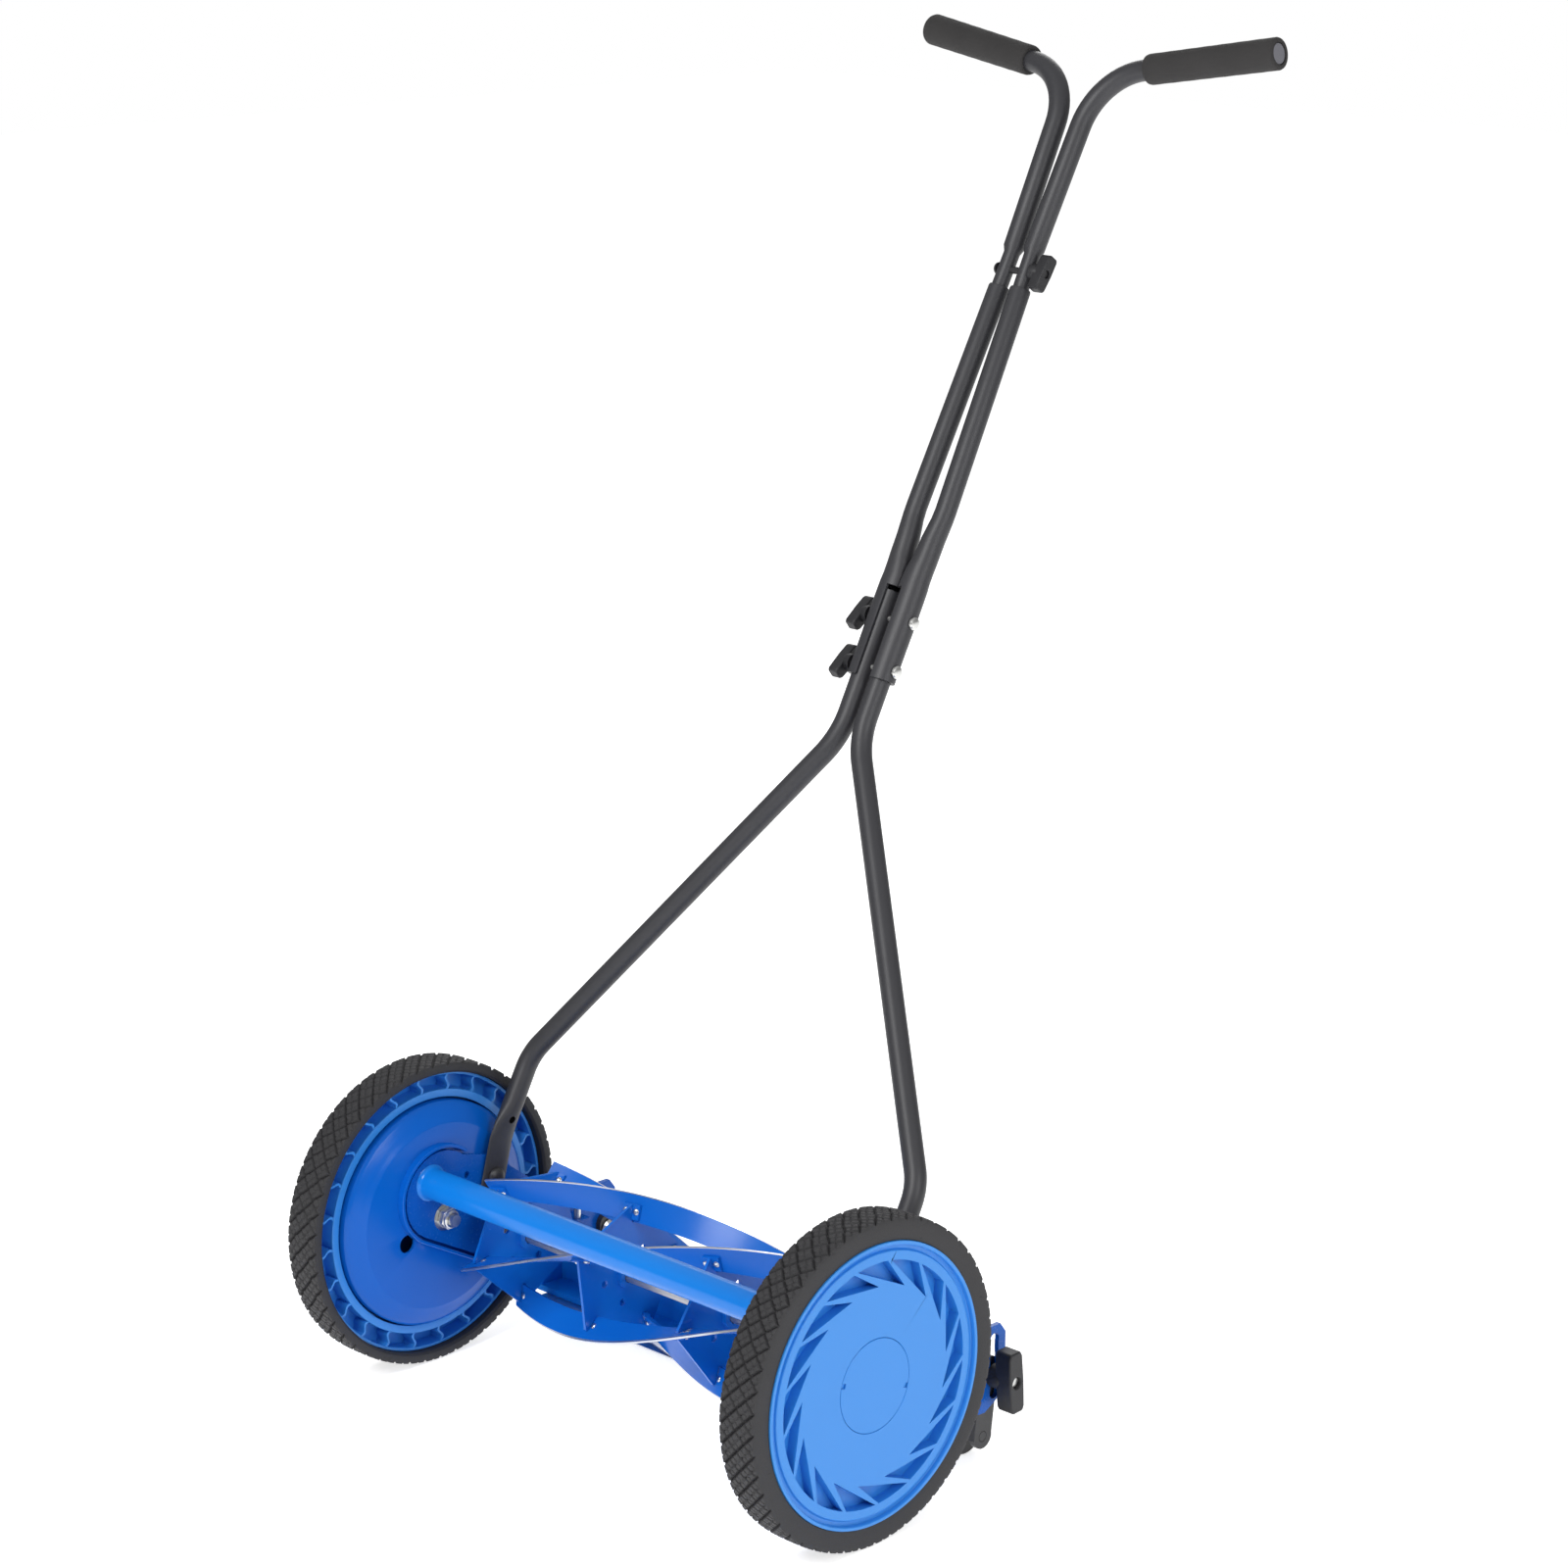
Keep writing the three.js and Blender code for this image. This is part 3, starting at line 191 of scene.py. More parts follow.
def make_piece(name, solid, materials, body, stands_for=(), crease=sharp_edge, shade=None):
    """A mesh object from (points, faces) in mm about the axle, riding on a body in place of CAD nodes."""
    points, faces = solid
    metres = np.asarray(points, float) / 1000 + np.array((0, axle_y, axle_z))
    mesh = bpy.data.meshes.new(name)
    mesh.from_pydata(metres.tolist(), [], [list(map(int, f)) for f in faces])
    if shade:
        mesh.polygons.foreach_set("material_index", [shade(f) for f in faces])
    tidy = bmesh.new()
    tidy.from_mesh(mesh)
    bmesh.ops.remove_doubles(tidy, verts=tidy.verts, dist=2e-6)
    bmesh.ops.recalc_face_normals(tidy, faces=tidy.faces)
    tidy.to_mesh(mesh)
    tidy.free()
    for material in materials:
        mesh.materials.append(material)
    mesh.polygons.foreach_set("use_smooth", [True] * len(mesh.polygons))
    mesh.set_sharp_from_angle(angle=math.radians(crease))
    piece = bpy.data.objects.new(name, mesh)
    bpy.context.collection.objects.link(piece)
    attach(piece, body)
    if stands_for:
        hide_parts(*stands_for)
    return piece


def skin(rings, path_closed=False):
    """Quads over rings of points, each as long as the next, with flat ends where the path is open."""
    rows, sides = len(rings), len(rings[0])
    points = np.concatenate([np.asarray(r, float) for r in rings])
    faces = []
    for i in range(rows if path_closed else rows - 1):
        k = (i + 1) % rows
        for j in range(sides):
            m = (j + 1) % sides
            faces.append((i * sides + j, i * sides + m, k * sides + m, k * sides + j))
    if not path_closed:
        faces.append(tuple(range(sides - 1, -1, -1)))
        faces.append(tuple((rows - 1) * sides + j for j in range(sides)))
    return points, faces


def turned(profile, steps=96, y=0.0, z=0.0):
    """A round solid about an X-wise axis from a closed loop of (x, radius)."""
    x, r = np.array(profile, float).T
    rings = []
    for i in range(steps):
        a = 2 * math.pi * i / steps
        rings.append(np.column_stack((x, y + r * math.cos(a), z + r * math.sin(a))))
    return skin(rings, path_closed=True)


def together(*solids):
    """Several solids as one, without joining their surfaces."""
    points, faces, offset = [], [], 0
    for p, f in solids:
        points.append(np.asarray(p, float))
        faces += [tuple(v + offset for v in face) for face in f]
        offset += len(p)
    return np.concatenate(points), faces


def other_side(solid):
    points, faces = solid
    return np.asarray(points) * (-1, 1, 1), [tuple(reversed(f)) for f in faces]


def on_side(side, solid):
    """The left piece as drawn, the right one mirrored."""
    return solid if side == "left" else other_side(solid)


tyre_rubber = surface("tyre rubber", (0.018, 0.018, 0.020), (0.025, 0.024, 0.027), 0.55, 0.78,
                      900, 20, 90, 0.3)
crown_radius, wheel_middle = 126.9, 246.2
blocks_round, steps_per_block, rows_across = 48, 16, 32
groove_steps, groove_depth = 2, 2.1
sipe_step, sipe_depth = 9, 0.9
jog_after, jog_before = 4, 9
shoulder_drop = 0.9
bead_x, bead_inner, bead_outer = 253.8, 109.7, 117.6
around = blocks_round * steps_per_block
grid = 2 * math.pi * crown_radius / around
turn = np.arange(around)
tread_rows = []
for j in range(-rows_across // 2, rows_across // 2 + 1):
    jog = np.where((j % steps_per_block > jog_after) & (j % steps_per_block < jog_before), 1, 0)
    one = (turn + j) % steps_per_block
    two = (turn - j + jog) % steps_per_block
    sipe = np.where((one == sipe_step) | (two == sipe_step), sipe_depth, 0.0)
    depth = np.where((one < groove_steps) | (two < groove_steps), groove_depth, sipe)
    shoulder = shoulder_drop * (abs(j) / (rows_across / 2)) ** 4
    tread_rows.append((wheel_middle + j * grid, crown_radius - shoulder - depth))
edge = rows_across / 2 * grid
wall_out = [(edge + 0.4, 124.4), (edge + 0.7, 122.6), (edge + 0.6, 116), (edge + 0.4, 111),
            (edge + 0.2, bead_inner)]
wall_in = [(-edge - 0.4, 124.4), (-edge - 0.7, 122.6), (-edge - 0.3, 119.5), (-edge + 1.2, bead_outer)]
profile_rows = [(wheel_middle + x, np.full(around, r)) for x, r in reversed(wall_in)]
profile_rows += tread_rows
profile_rows += [(wheel_middle + x, np.full(around, r)) for x, r in wall_out]
profile_rows += [(bead_x, np.full(around, bead_inner)), (bead_x, np.full(around, bead_outer))]
angles = turn * 2 * math.pi / around
tyre_rings = [
    np.column_stack((np.full(around, x), r * np.cos(angles), r * np.sin(angles))) for x, r in profile_rows
]
tyre_solid = skin(tyre_rings, path_closed=True)
for side in ("left", "right"):
    tyre = make_piece("tread_tyre_" + side, on_side(side, tyre_solid), [tyre_rubber], "wheel_" + side,
                      ["tyre_" + side], 28)


# ---- Wheel hubs: one blue polypropylene moulding each, with seventeen slanted turbine slots outside,
# a lip and groove at the rim, and inside a ring of thin ribs over deep pockets and the ring gear's wall.
def prism(outline, x0, x1):
    """A flat piece between two planes of constant x from a loop of (y, z)."""
    low = np.array([(x0, y, z) for y, z in outline])
    high = np.array([(x1, y, z) for y, z in outline])
    return skin([low, high])


def polar(radius, degrees, y=0.0, z=0.0):
    return y + radius * math.cos(math.radians(degrees)), z + radius * math.sin(math.radians(degrees))


def arc(radius, start, end, y, z, steps):
    return [polar(radius, start + (end - start) * i / steps, y, z) for i in range(steps + 1)]


def carve(piece, solid):
    """Cuts a solid out of a piece, as a moulding core or a punch leaves it."""
    points, faces = solid
    tool_mesh = bpy.data.meshes.new("punch")
    metres = np.asarray(points, float) / 1000 + np.array((0, axle_y, axle_z))
    tool_mesh.from_pydata(metres.tolist(), [], [list(f) for f in faces])
    fix = bmesh.new()
    fix.from_mesh(tool_mesh)
    bmesh.ops.recalc_face_normals(fix, faces=fix.faces)
    fix.to_mesh(tool_mesh)
    fix.free()
    tool = bpy.data.objects.new("punch", tool_mesh)
    bpy.context.collection.objects.link(tool)
    cut = piece.modifiers.new("cut", "BOOLEAN")
    cut.object = tool
    cut.solver = "EXACT"
    cut.operation = "DIFFERENCE"
    bpy.context.view_layer.update()
    done = bpy.data.meshes.new_from_object(piece.evaluated_get(bpy.context.evaluated_depsgraph_get()))
    piece.modifiers.remove(cut)
    old = piece.data
    piece.data = done
    done.name = old.name
    bpy.data.objects.remove(tool)
    piece.data.polygons.foreach_set("use_smooth", [True] * len(piece.data.polygons))
    piece.data.set_sharp_from_angle(angle=math.radians(sharp_edge))


def bore(x0, x1, radius, steps, y, z):
    """A plain round core for a hole about an X-wise axis."""
    return turned([(x0, 0), (x0, radius), (x1, radius), (x1, 0)], steps, y, z)


def soften(piece, width, segments=2, angle=35):
    """Rounds the sharp edges of a piece by a width in mm, so that they catch the light."""
    edge = piece.modifiers.new("rounded edges", "BEVEL")
    edge.width = width / 1000
    edge.segments = segments
    edge.limit_method = "ANGLE"
    edge.angle_limit = math.radians(angle)
    edge.use_clamp_overlap = True


hub_blue = surface("moulded blue plastic", (0.026, 0.225, 0.66), (0.031, 0.250, 0.72), 0.36, 0.5,
                   1400, 9, 40, 0.06)
hub_profile = [
    (228, 8.4), (228, 15), (252.5, 15), (252.5, 84.5), (239, 84.5), (239, 88.5), (252, 88.5), (252, 96),
    (236.6, 96), (236.4, 96.6), (236.4, 102), (236.8, 102.4), (251, 102.4), (251, 114.8), (236.6, 114.8),
    (236.4, 115.2), (236.4, 116.9), (236.8, 117.3), (253.5, 117.3), (253.5, 109.2), (264, 109.2),
    (264.4, 108.8), (264.4, 107.0), (264.0, 106.5), (260.8, 106.1), (260.4, 105.6), (260.4, 103.0),
    (260.8, 102.4), (262.3, 101.8), (262.7, 101.2), (262.6, 36.6), (262.2, 36.3), (259.3, 36.3),
    (259.3, 13.5), (254, 13.5), (254, 8.4),
]
slot_count, slot_tip_radius, slot_rim_radius = 17, 76, 94.6
slot_floor, past_face = 253.6, 270
slots = []
for i in range(slot_count):
    tip = i * 360 / slot_count + 3.2
    rim_side = arc(slot_rim_radius, tip + 15.5, tip + 34.4, 0, 0, 6)
    outline = [polar(slot_tip_radius, tip - 0.5), *rim_side, polar(slot_tip_radius, tip + 0.5)]
    slots.append(prism(outline, slot_floor, past_face))
rib_count, rib_half, rib_wave, rib_steps = 24, 1.1, 2.0, 8
rib_inner, rib_length, rib_front, rib_back = 101.5, 14, 237, 251.8
ribs = []
for i in range(rib_count):
    bend = []
    for s in range(rib_steps + 1):
        reach = rib_inner + rib_length * s / rib_steps
        wave = rib_wave * math.sin(2 * math.pi * s / rib_steps)
        a = math.radians(i * 360 / rib_count + 11)
        y = reach * math.cos(a) - wave * math.sin(a)
        centre = np.array((y, reach * math.sin(a) + wave * math.cos(a)))
        across_rib = np.array((-math.sin(a), math.cos(a))) * rib_half
        low, high = centre - across_rib, centre + across_rib
        bend.append([(rib_front, *low), (rib_front, *high), (rib_back, *high), (rib_back, *low)])
    ribs.append(skin(bend))
reel_angle = -21.3
gear_teeth, tooth_root, tooth_tip = 54, 85, 78.9
gear_front, gear_back = 240.6, 252.6
teeth = []
for i in range(gear_teeth):
    centre = reel_angle + (i + 0.5) * 360 / gear_teeth + 180 / gear_teeth
    outline = [
        polar(tooth_root, centre - 1.1), polar(tooth_tip, centre - 0.62),
        polar(tooth_tip, centre + 0.62), polar(tooth_root, centre + 1.1),
    ]
    teeth.append(prism(outline, gear_front, gear_back))
for side in ("left", "right"):
    hub = make_piece("moulded_hub_" + side, turned(hub_profile, 144), [hub_blue], "wheel_" + side,
                     ["wheel_hub_" + side])
    carve(hub, together(*slots))
    soften(hub, 0.35, 2, 40)
    web = make_piece("hub_ribs_and_gear_" + side, together(*ribs, *teeth), [hub_blue], "wheel_" + side)
    soften(web, 0.2, 1, 40)
    # The right wheel is the same moulding turned half round, not a mirrored one.
    if side == "right":
        for piece in (hub, web):
            for v in piece.data.vertices:
                v.co.x = -v.co.x
                v.co.y = 2 * axle_y - v.co.y
            piece.data.update()

# ---- Hub caps: thin blue discs pushed into the hub face, leaving a hairline seam
# and two small pry notches at their edge.
cap_profile = [(259.6, 0), (259.6, 36.0), (262.4, 36.0), (262.7, 35.6), (262.7, 0)]
notch_inner, notch_outer, notch_floor, notch_top = 32.2, 36.6, 261.3, 264
for side in ("left", "right"):
    sign = 1 if side == "left" else -1
    cap = make_piece("push_cap_" + side, on_side(side, turned(cap_profile)), [hub_blue], "wheel_" + side,
                     ["hub_cap_" + side])
    for place in (164, -16):
        notch = [polar(notch_inner, place - 3.4), polar(notch_outer, place - 3.0),
                 polar(notch_outer, place + 3.0), polar(notch_inner, place + 3.4)]
        carve(cap, prism(notch, sign * notch_floor, sign * notch_top))

# ---- Gear covers: glossy blue dished mouldings that close the inside of each wheel.
# A raised wall follows the side plate, and a round hole below the front lets clippings out.
cover_blue = surface("glossy blue cover", (0.001, 0.095, 0.46), (0.002, 0.110, 0.51), 0.16, 0.26,
                     900, 8, 35, 0.03, shine=0.22)
reel_distance = 66
reel_y = reel_distance * math.cos(math.radians(reel_angle))
reel_z = reel_distance * math.sin(math.radians(reel_angle))
cover_profile = [
    (223.4, 5.6), (223.4, 77.4), (223.7, 78.2), (225, 80.6), (226.2, 83.4), (229.4, 90.9), (230.6, 92.8),
    (232.4, 94.1), (240.2, 94.3), (240.4, 94.1), (240.4, 92.1), (233, 92.1), (231.2, 89.5), (227.2, 79.6),
    (225.6, 77.6), (225.6, 5.6),
]
wall_front, wall_back, wall_thickness = 39.4, 31.4, 2.8
clipping_hole, shaft_hole = 7.5, 6.9


def wall_path(grow):
    """The raised wall's line about the axle and on about the reel shaft, moved outward by grow."""
    front = arc(wall_front + grow, 50, 241, -3, 20, 40)
    back = arc(wall_back + grow, 241, 352, reel_y, reel_z, 16)
    return front + back


wall_rings = []
for (y0, z0), (y1, z1) in zip(wall_path(0), wall_path(wall_thickness)):
    inner_edge = (217.0, y0 + (y1 - y0) * 0.2, z0 + (z1 - z0) * 0.2)
    outer_edge = (217.0, y0 + (y1 - y0) * 0.8, z0 + (z1 - z0) * 0.8)
    wall_rings.append([(223.9, y0, z0), (217.4, y0, z0), inner_edge, outer_edge, (217.5, y1, z1),
                       (223.9, y1, z1)])
for side in ("left", "right"):
    dish = on_side(side, turned(cover_profile, 128))
    cover = make_piece("dished_cover_" + side, dish, [cover_blue], "chassis", ["gear_cover_" + side])
    carve(cover, on_side(side, bore(222, 228, clipping_hole, 32, -36.6, -14.8)))
    carve(cover, on_side(side, bore(222, 228, shaft_hole, 32, reel_y, reel_z)))
    wall = make_piece("cover_wall_" + side, on_side(side, skin(wall_rings)), [cover_blue], "chassis")

# ---- Side plates, cutter bar: pressed and welded steel in gloss blue enamel, with slightly rounded edges.
# The plates carry the axle bolts, reel bearings and height holes; the bar hangs on its two trunnions.
# The plates stand in the wheels' shade and have a deeper blue for it.
enamel = surface("gloss blue enamel", (0.003, 0.180, 0.64), (0.005, 0.200, 0.70), 0.16, 0.28,
                 500, 8, 30, 0.02, shine=0.32)
plate_enamel = surface("shaded plate enamel", (0.002, 0.085, 0.42), (0.003, 0.100, 0.47), 0.2, 0.32,
                       500, 8, 30, 0.02, shine=0.25)


def dress(nodes, material, width=0.0, segments=2):
    """Gives CAD solids that keep their shape a material and, where asked, rounded edges."""
    for name in nodes:
        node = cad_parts[name]
        node.data.materials.clear()
        node.data.materials.append(material)
        if width:
            soften(node, width, segments, 40)


dress(["side_plate_left", "side_plate_right"], plate_enamel, 0.4)
dress(["cutter_bar"], enamel, 0.5)

# ---- Tie bar: a round tube across the front in the same gloss blue enamel.
# Each end is welded to a side plate with a small fillet.
tie_end, tie_radius = 218.8, 12.5
fillet = [(0, 10.9), (0, 15.2), (0.8, 14.0), (2.4, 12.8), (4, tie_radius)]
tie_profile = [(-tie_end + x, r) for x, r in fillet] + [(tie_end - x, r) for x, r in reversed(fillet)]
tie = make_piece("welded_tie_bar", turned(tie_profile, 64, -14, 33), [enamel], "chassis", ["tie_bar"], 60)

# ---- Axle fastenings: a shouldered steel bolt through each side plate, bright zinc,
# with a nylon-collared lock nut and a short threaded stub showing inside.
zinc = surface("bright zinc", (0.62, 0.62, 0.61), (0.70, 0.70, 0.68), 0.24, 0.34, 3000, 60, 120, 0.0, 1)
nut_radius, nut_inner, nut_outer = 9.3, 211.7, 218.6
collar_profile = [(209.4, 5.2), (209.4, 6.6), (210.2, 7.5), (212.5, 7.9), (212.5, 5.2)]
washer_profile = [(218.55, 6), (218.55, 11.4), (218.95, 11.4), (218.95, 6)]


def thread(x0, x1, radius, pitch):
    """A threaded rod end as a row of fine crests about an X-wise axis."""
    profile = [(x0, 0), (x0, radius - 0.8)]
    turns = int(abs(x1 - x0) / pitch)
    step = (x1 - x0) / turns
    for i in range(turns):
        profile += [(x0 + step * (i + 0.5), radius), (x0 + step * (i + 1), radius - 0.6)]
    return turned(profile + [(x1, 0)], 28)


hexagon = [polar(nut_radius, 60 * i + 12) for i in range(6)]
for side in ("left", "right"):
    nut_solid = on_side(side, prism(hexagon, nut_inner, nut_outer))
    nut = make_piece("lock_nut_" + side, nut_solid, [zinc], "chassis", ["axle_nut_" + side])
    soften(nut, 0.9, 2, 40)
    stub_solid = together(thread(205.2, 212.0, 4.9, 1.4), turned(collar_profile, 40))
    stub = make_piece("threaded_stub_" + side, on_side(side, stub_solid), [zinc], "chassis")
    washer = make_piece("plate_washer_" + side, on_side(side, turned(washer_profile, 40)), [zinc], "chassis")
dress(["axle_bolt_left", "axle_bolt_right", "adjusting_screw_left", "adjusting_screw_right",
       "height_bolt_left", "height_bolt_right"], zinc, 0.3, 1)

# ---- Reel: five flat steel blades bent to a helix, painted blue and then ground, so each has a bare
# bright cutting edge. They are riveted to tabs on four thin spiders pressed onto the shaft.
# The reel's enamel is a deeper blue than the bar's. This is painted shade, for the shade the reel turns in
# under the bar and between the wheels.
shaded_reel_blue = surface("shaded reel enamel", (0.003, 0.125, 0.54), (0.005, 0.145, 0.60), 0.18, 0.3,
                    420, 10, 26, 0.02, shine=0.3)
ground = surface("ground steel", (0.52, 0.54, 0.58), (0.68, 0.69, 0.72), 0.22, 0.42, 300, 80, 400, 0.2, 1)
reel_radius, blade_half, blade_width, blade_length_half = 64.9, 1.25, 22.5, 199.0
blade_count, blade_first, blade_twist, blade_steps = 5, 50.9, 34.5, 90


def about_reel(x, radius, sideways, number):
    """A point on blade number's own helix, as far out as radius and off its middle plane by sideways."""
    twist = blade_twist * (x + blade_length_half) / 100
    a = math.radians(blade_first - twist + 72 * number)
    y = reel_y + radius * math.cos(a) - sideways * math.sin(a)
    return x, y, reel_z + radius * math.sin(a) + sideways * math.cos(a)


section = [(reel_radius - blade_width, -blade_half), (reel_radius - 1.3, -blade_half),
           (reel_radius, -blade_half + 0.9), (reel_radius, blade_half), (reel_radius - 0.7, blade_half),
           (reel_radius - blade_width, blade_half)]


def bare_edge(face):
    """1 for the quads along the ground cutting edge, 0 for the painted rest."""
    corners = sorted(v % len(section) for v in face)
    return 1 if corners in ([1, 1, 2, 2], [2, 2, 3, 3], [3, 3, 4, 4]) else 0


for number in range(blade_count):
    rings = []
    for i in range(blade_steps + 1):
        x = -blade_length_half + 2 * blade_length_half * i / blade_steps
        rings.append([about_reel(x, r, s, number) for r, s in section])
    blade = make_piece("ground_blade_%d" % (number + 1), skin(rings), [shaded_reel_blue, ground], "reel",
                       ["reel_blade_%d" % (number + 1)], 30, bare_edge)
spider_count, spider_first_x, spider_pitch = 4, -190, 119.5
dress(["reel_spider_%d" % (i + 1) for i in range(spider_count)], shaded_reel_blue, 0.25, 1)
rivet_offset, rivet_circle, rivet_sides = 4.3, 51, 12
rivet_dome = ((2.6, -0.2), (2.6, 0.3), (2.0, 0.9), (1.1, 1.25), (0.2, 1.35))


def rivet_head(x, level, way, number):
    rings = []
    for reach, rise in rivet_dome:
        ring = []
        for k in range(rivet_sides):
            a = 2 * math.pi * k / rivet_sides
            along, out = x + reach * math.cos(a), rivet_circle + reach * math.sin(a)
            ring.append(about_reel(along, out, level + way * rise, number))
        rings.append(ring)
    return skin(rings)


rivets = []
for station in range(spider_count):
    middle = spider_first_x + spider_pitch * station
    for number in range(blade_count):
        for x in (middle - rivet_offset, middle + rivet_offset):
            rivets.append(rivet_head(x, blade_half + 2.5, 1, number))
            rivets.append(rivet_head(x, -blade_half, -1, number))
rivet_piece = make_piece("reel_rivets", together(*rivets), [zinc], "reel")
steel = surface("turned steel", (0.42, 0.42, 0.42), (0.55, 0.54, 0.52), 0.28, 0.5, 500, 40, 200, 0.15, 1)
dress(["drive_pawl_left", "drive_pawl_right", "pinion_left", "pinion_right", "reel_bearing_left",
       "reel_bearing_right"], steel, 0.2, 1)
shaft_profile = [(-251, 0), (-251, 5.4), (-250.4, 6), (250.4, 6), (251, 5.4), (251, 0)]
shaft_solid = turned(shaft_profile, 40, reel_y, reel_z)
shaft = make_piece("turned_shaft", shaft_solid, [steel], "reel", ["reel_shaft"])

# ---- Bed knife: a flat hardened steel strip fixed under the cutter bar.
# It is left bare, because its edge is ground to meet the blades.
dress(["bed_knife"], ground, 0.3, 1)

# ---- Handle tubes: bent 17 mm steel tube in dark grey powder coat. The lower ones are pressed flat at the
# foot; the middle ones are opened into channels at the bottom and necked at the top, where the upper ones
# slide in. Places along the handle are runs in mm from the bend above the foot.
coat_grey = surface("dark grey powder coat", (0.024, 0.024, 0.028), (0.033, 0.033, 0.038), 0.40, 0.52,
                    1600, 12, 50, 0.12)
lay, foot_lay = math.radians(61.7), math.radians(75)
pivot_y, pivot_z, foot_length, foot_x = 50.9, 22.6, 34.6, 216.4
tube_radius, tube_wall, tube_sides = 8.65, 1.2, 32
form_spacing, bend_steps = 7.0, 14
lower_bend_run, gather_run, lower_top_run = 69.5, 386, 508
middle_foot_run, channel_run, pinch_run, open_run, round_run, middle_top_run = 436, 514, 521, 547, 580, 770
neck_foot_run, neck_end_run, corner_run = 740, 800, 955
lower_bolt_runs, upper_bolt_run = (445.5, 486.5), 785
gather_x, middle_low_x, middle_high_x, corner_x, grip_x = 10.2, 15.7, 11.3, 14.4, 62.5
bend_y = pivot_y + foot_length * math.cos(foot_lay)
bend_z = pivot_z + foot_length * math.sin(foot_lay)


def up_handle(x, run):
    return np.array((x, bend_y + run * math.cos(lay), bend_z + run * math.sin(lay)))


def foot_point(distance):
    y, z = pivot_y + distance * math.cos(foot_lay), pivot_z + distance * math.sin(foot_lay)
    return np.array((foot_x, y, z))


def bent_path(stops):
    """Points, directions and forms at the stops, with an arc wherever a stop has a bend radius."""
    places, ways, forms = [], [], []
    for i, (point, bend, form) in enumerate(stops):
        before = (point - stops[i - 1][0]) if i else None
        after = (stops[i + 1][0] - point) if i < len(stops) - 1 else None
        before = before / np.linalg.norm(before) if before is not None else None
        after = after / np.linalg.norm(after) if after is not None else None
        if not bend:
            way = (before if before is not None else after) + (after if after is not None else before)
            places.append(point)
            ways.append(way / np.linalg.norm(way))
            forms.append(form)
            continue
        angle = math.acos(float(np.clip(before @ after, -1, 1)))
        start = point - before * bend * math.tan(angle / 2)
        inward = (after - before) / np.linalg.norm(after - before)
        centre = point + inward * bend / math.cos(angle / 2)
        arm = start - centre
        for k in range(bend_steps + 1):
            t = angle * k / bend_steps
            places.append(centre + arm * math.cos(t) + before * np.linalg.norm(arm) * math.sin(t))
            ways.append(before * math.cos(t) - arm / np.linalg.norm(arm) * math.sin(t))
            forms.append(form)
    return places, ways, forms


def stations(stops):
    """The bent path with more stations wherever the form changes; a stop is (point, bend radius, form)."""
    places, ways, forms = bent_path(stops)
    dense_p, dense_w, dense_f = [places[0]], [ways[0]], [forms[0]]
    for k in range(1, len(places)):
        gap = np.linalg.norm(places[k] - places[k - 1])
        changes = forms[k] != forms[k - 1]
        pieces = max(1, int(gap / form_spacing)) if changes else 1
        for m in range(1, pieces + 1):
            t = m / pieces
            ease = t * t * (3 - 2 * t) if changes else t
            way = ways[k - 1] * (1 - t) + ways[k] * t
            dense_p.append(places[k - 1] * (1 - t) + places[k] * t)
            dense_w.append(way / np.linalg.norm(way))
            dense_f.append(tuple(a * (1 - ease) + b * ease for a, b in zip(forms[k - 1], forms[k])))
    return dense_p, dense_w, dense_f


def bent_tube(stops):
    """A hollow tube. A form is (shift along X, outer half width and depth, inner half width and depth)."""
    outside, inside = [], []
    for place, way, (shift, outer_x, outer_n, inner_x, inner_n) in zip(*stations(stops)):
        normal = np.cross(way, (1, 0, 0))
        normal /= np.linalg.norm(normal)
        across_tube = np.cross(normal, way)
        for rows, half_x, half_n in ((outside, outer_x, outer_n), (inside, inner_x, inner_n)):
            ring = []
            for k in range(tube_sides):
                a = 2 * math.pi * k / tube_sides
                spot = across_tube * half_x * math.cos(a) + normal * half_n * math.sin(a)
                ring.append(place + np.array((shift, 0, 0)) + spot)
            rows.append(np.array(ring))
    return skin(outside + inside[::-1], path_closed=True)


round_form = (0.0, tube_radius, tube_radius, tube_radius - tube_wall, tube_radius - tube_wall)
flat = (0.0, 2.1, 12.4, 0.35, 10.4)
toe = (0.0, 2.1, 9.0, 0.35, 7.4)
lower_stops = [
    (foot_point(-14), 0, toe), (foot_point(-11.5), 0, (0.0, 2.1, 11.4, 0.35, 9.4)), (foot_point(-8), 0, flat),
    (foot_point(foot_length - 4), 0, flat), (up_handle(foot_x, 8), 0, (0.0, 5.0, 11.2, 3.8, 9.9)),
    (up_handle(foot_x, 26), 0, round_form), (up_handle(foot_x, lower_bend_run), 46, round_form),
    (up_handle(gather_x, gather_run), 70, round_form), (up_handle(gather_x, lower_top_run), 0, round_form),
]


def middle_x(run):
    return middle_low_x + (middle_high_x - middle_low_x) * (run - round_run) / (middle_top_run - round_run)


def on_middle(run, form):
    return up_handle(middle_x(run), run), 0, form


def channel(run):
    return gather_x - middle_x(run), 12.65, 11.05, 9.1, 9.1


pinched = (gather_x - middle_x(pinch_run), 12.2, 10.6, 0.4, 0.4)
opening = ((gather_x - middle_x(channel_run)) / 2, 9.8, 9.8, 8.4, 8.4)
middle_stops = [
    on_middle(middle_foot_run, channel(middle_foot_run)), on_middle(channel_run, channel(channel_run)),
    on_middle(pinch_run, pinched), on_middle(open_run, opening), on_middle(round_run, round_form),
    on_middle(middle_top_run - 1.4, round_form), on_middle(middle_top_run, (0.0, 8.2, 8.2, 7.45, 7.45)),
]
neck = (0.0, 6.7, 6.7, 5.5, 5.5)
grip_rise, grip_back = math.radians(8.8), math.radians(5.7)
grip_way = np.array((math.cos(grip_rise) * math.cos(grip_back), math.cos(grip_rise) * math.sin(grip_back),
                     math.sin(grip_rise)))
corner = up_handle(corner_x, corner_run)
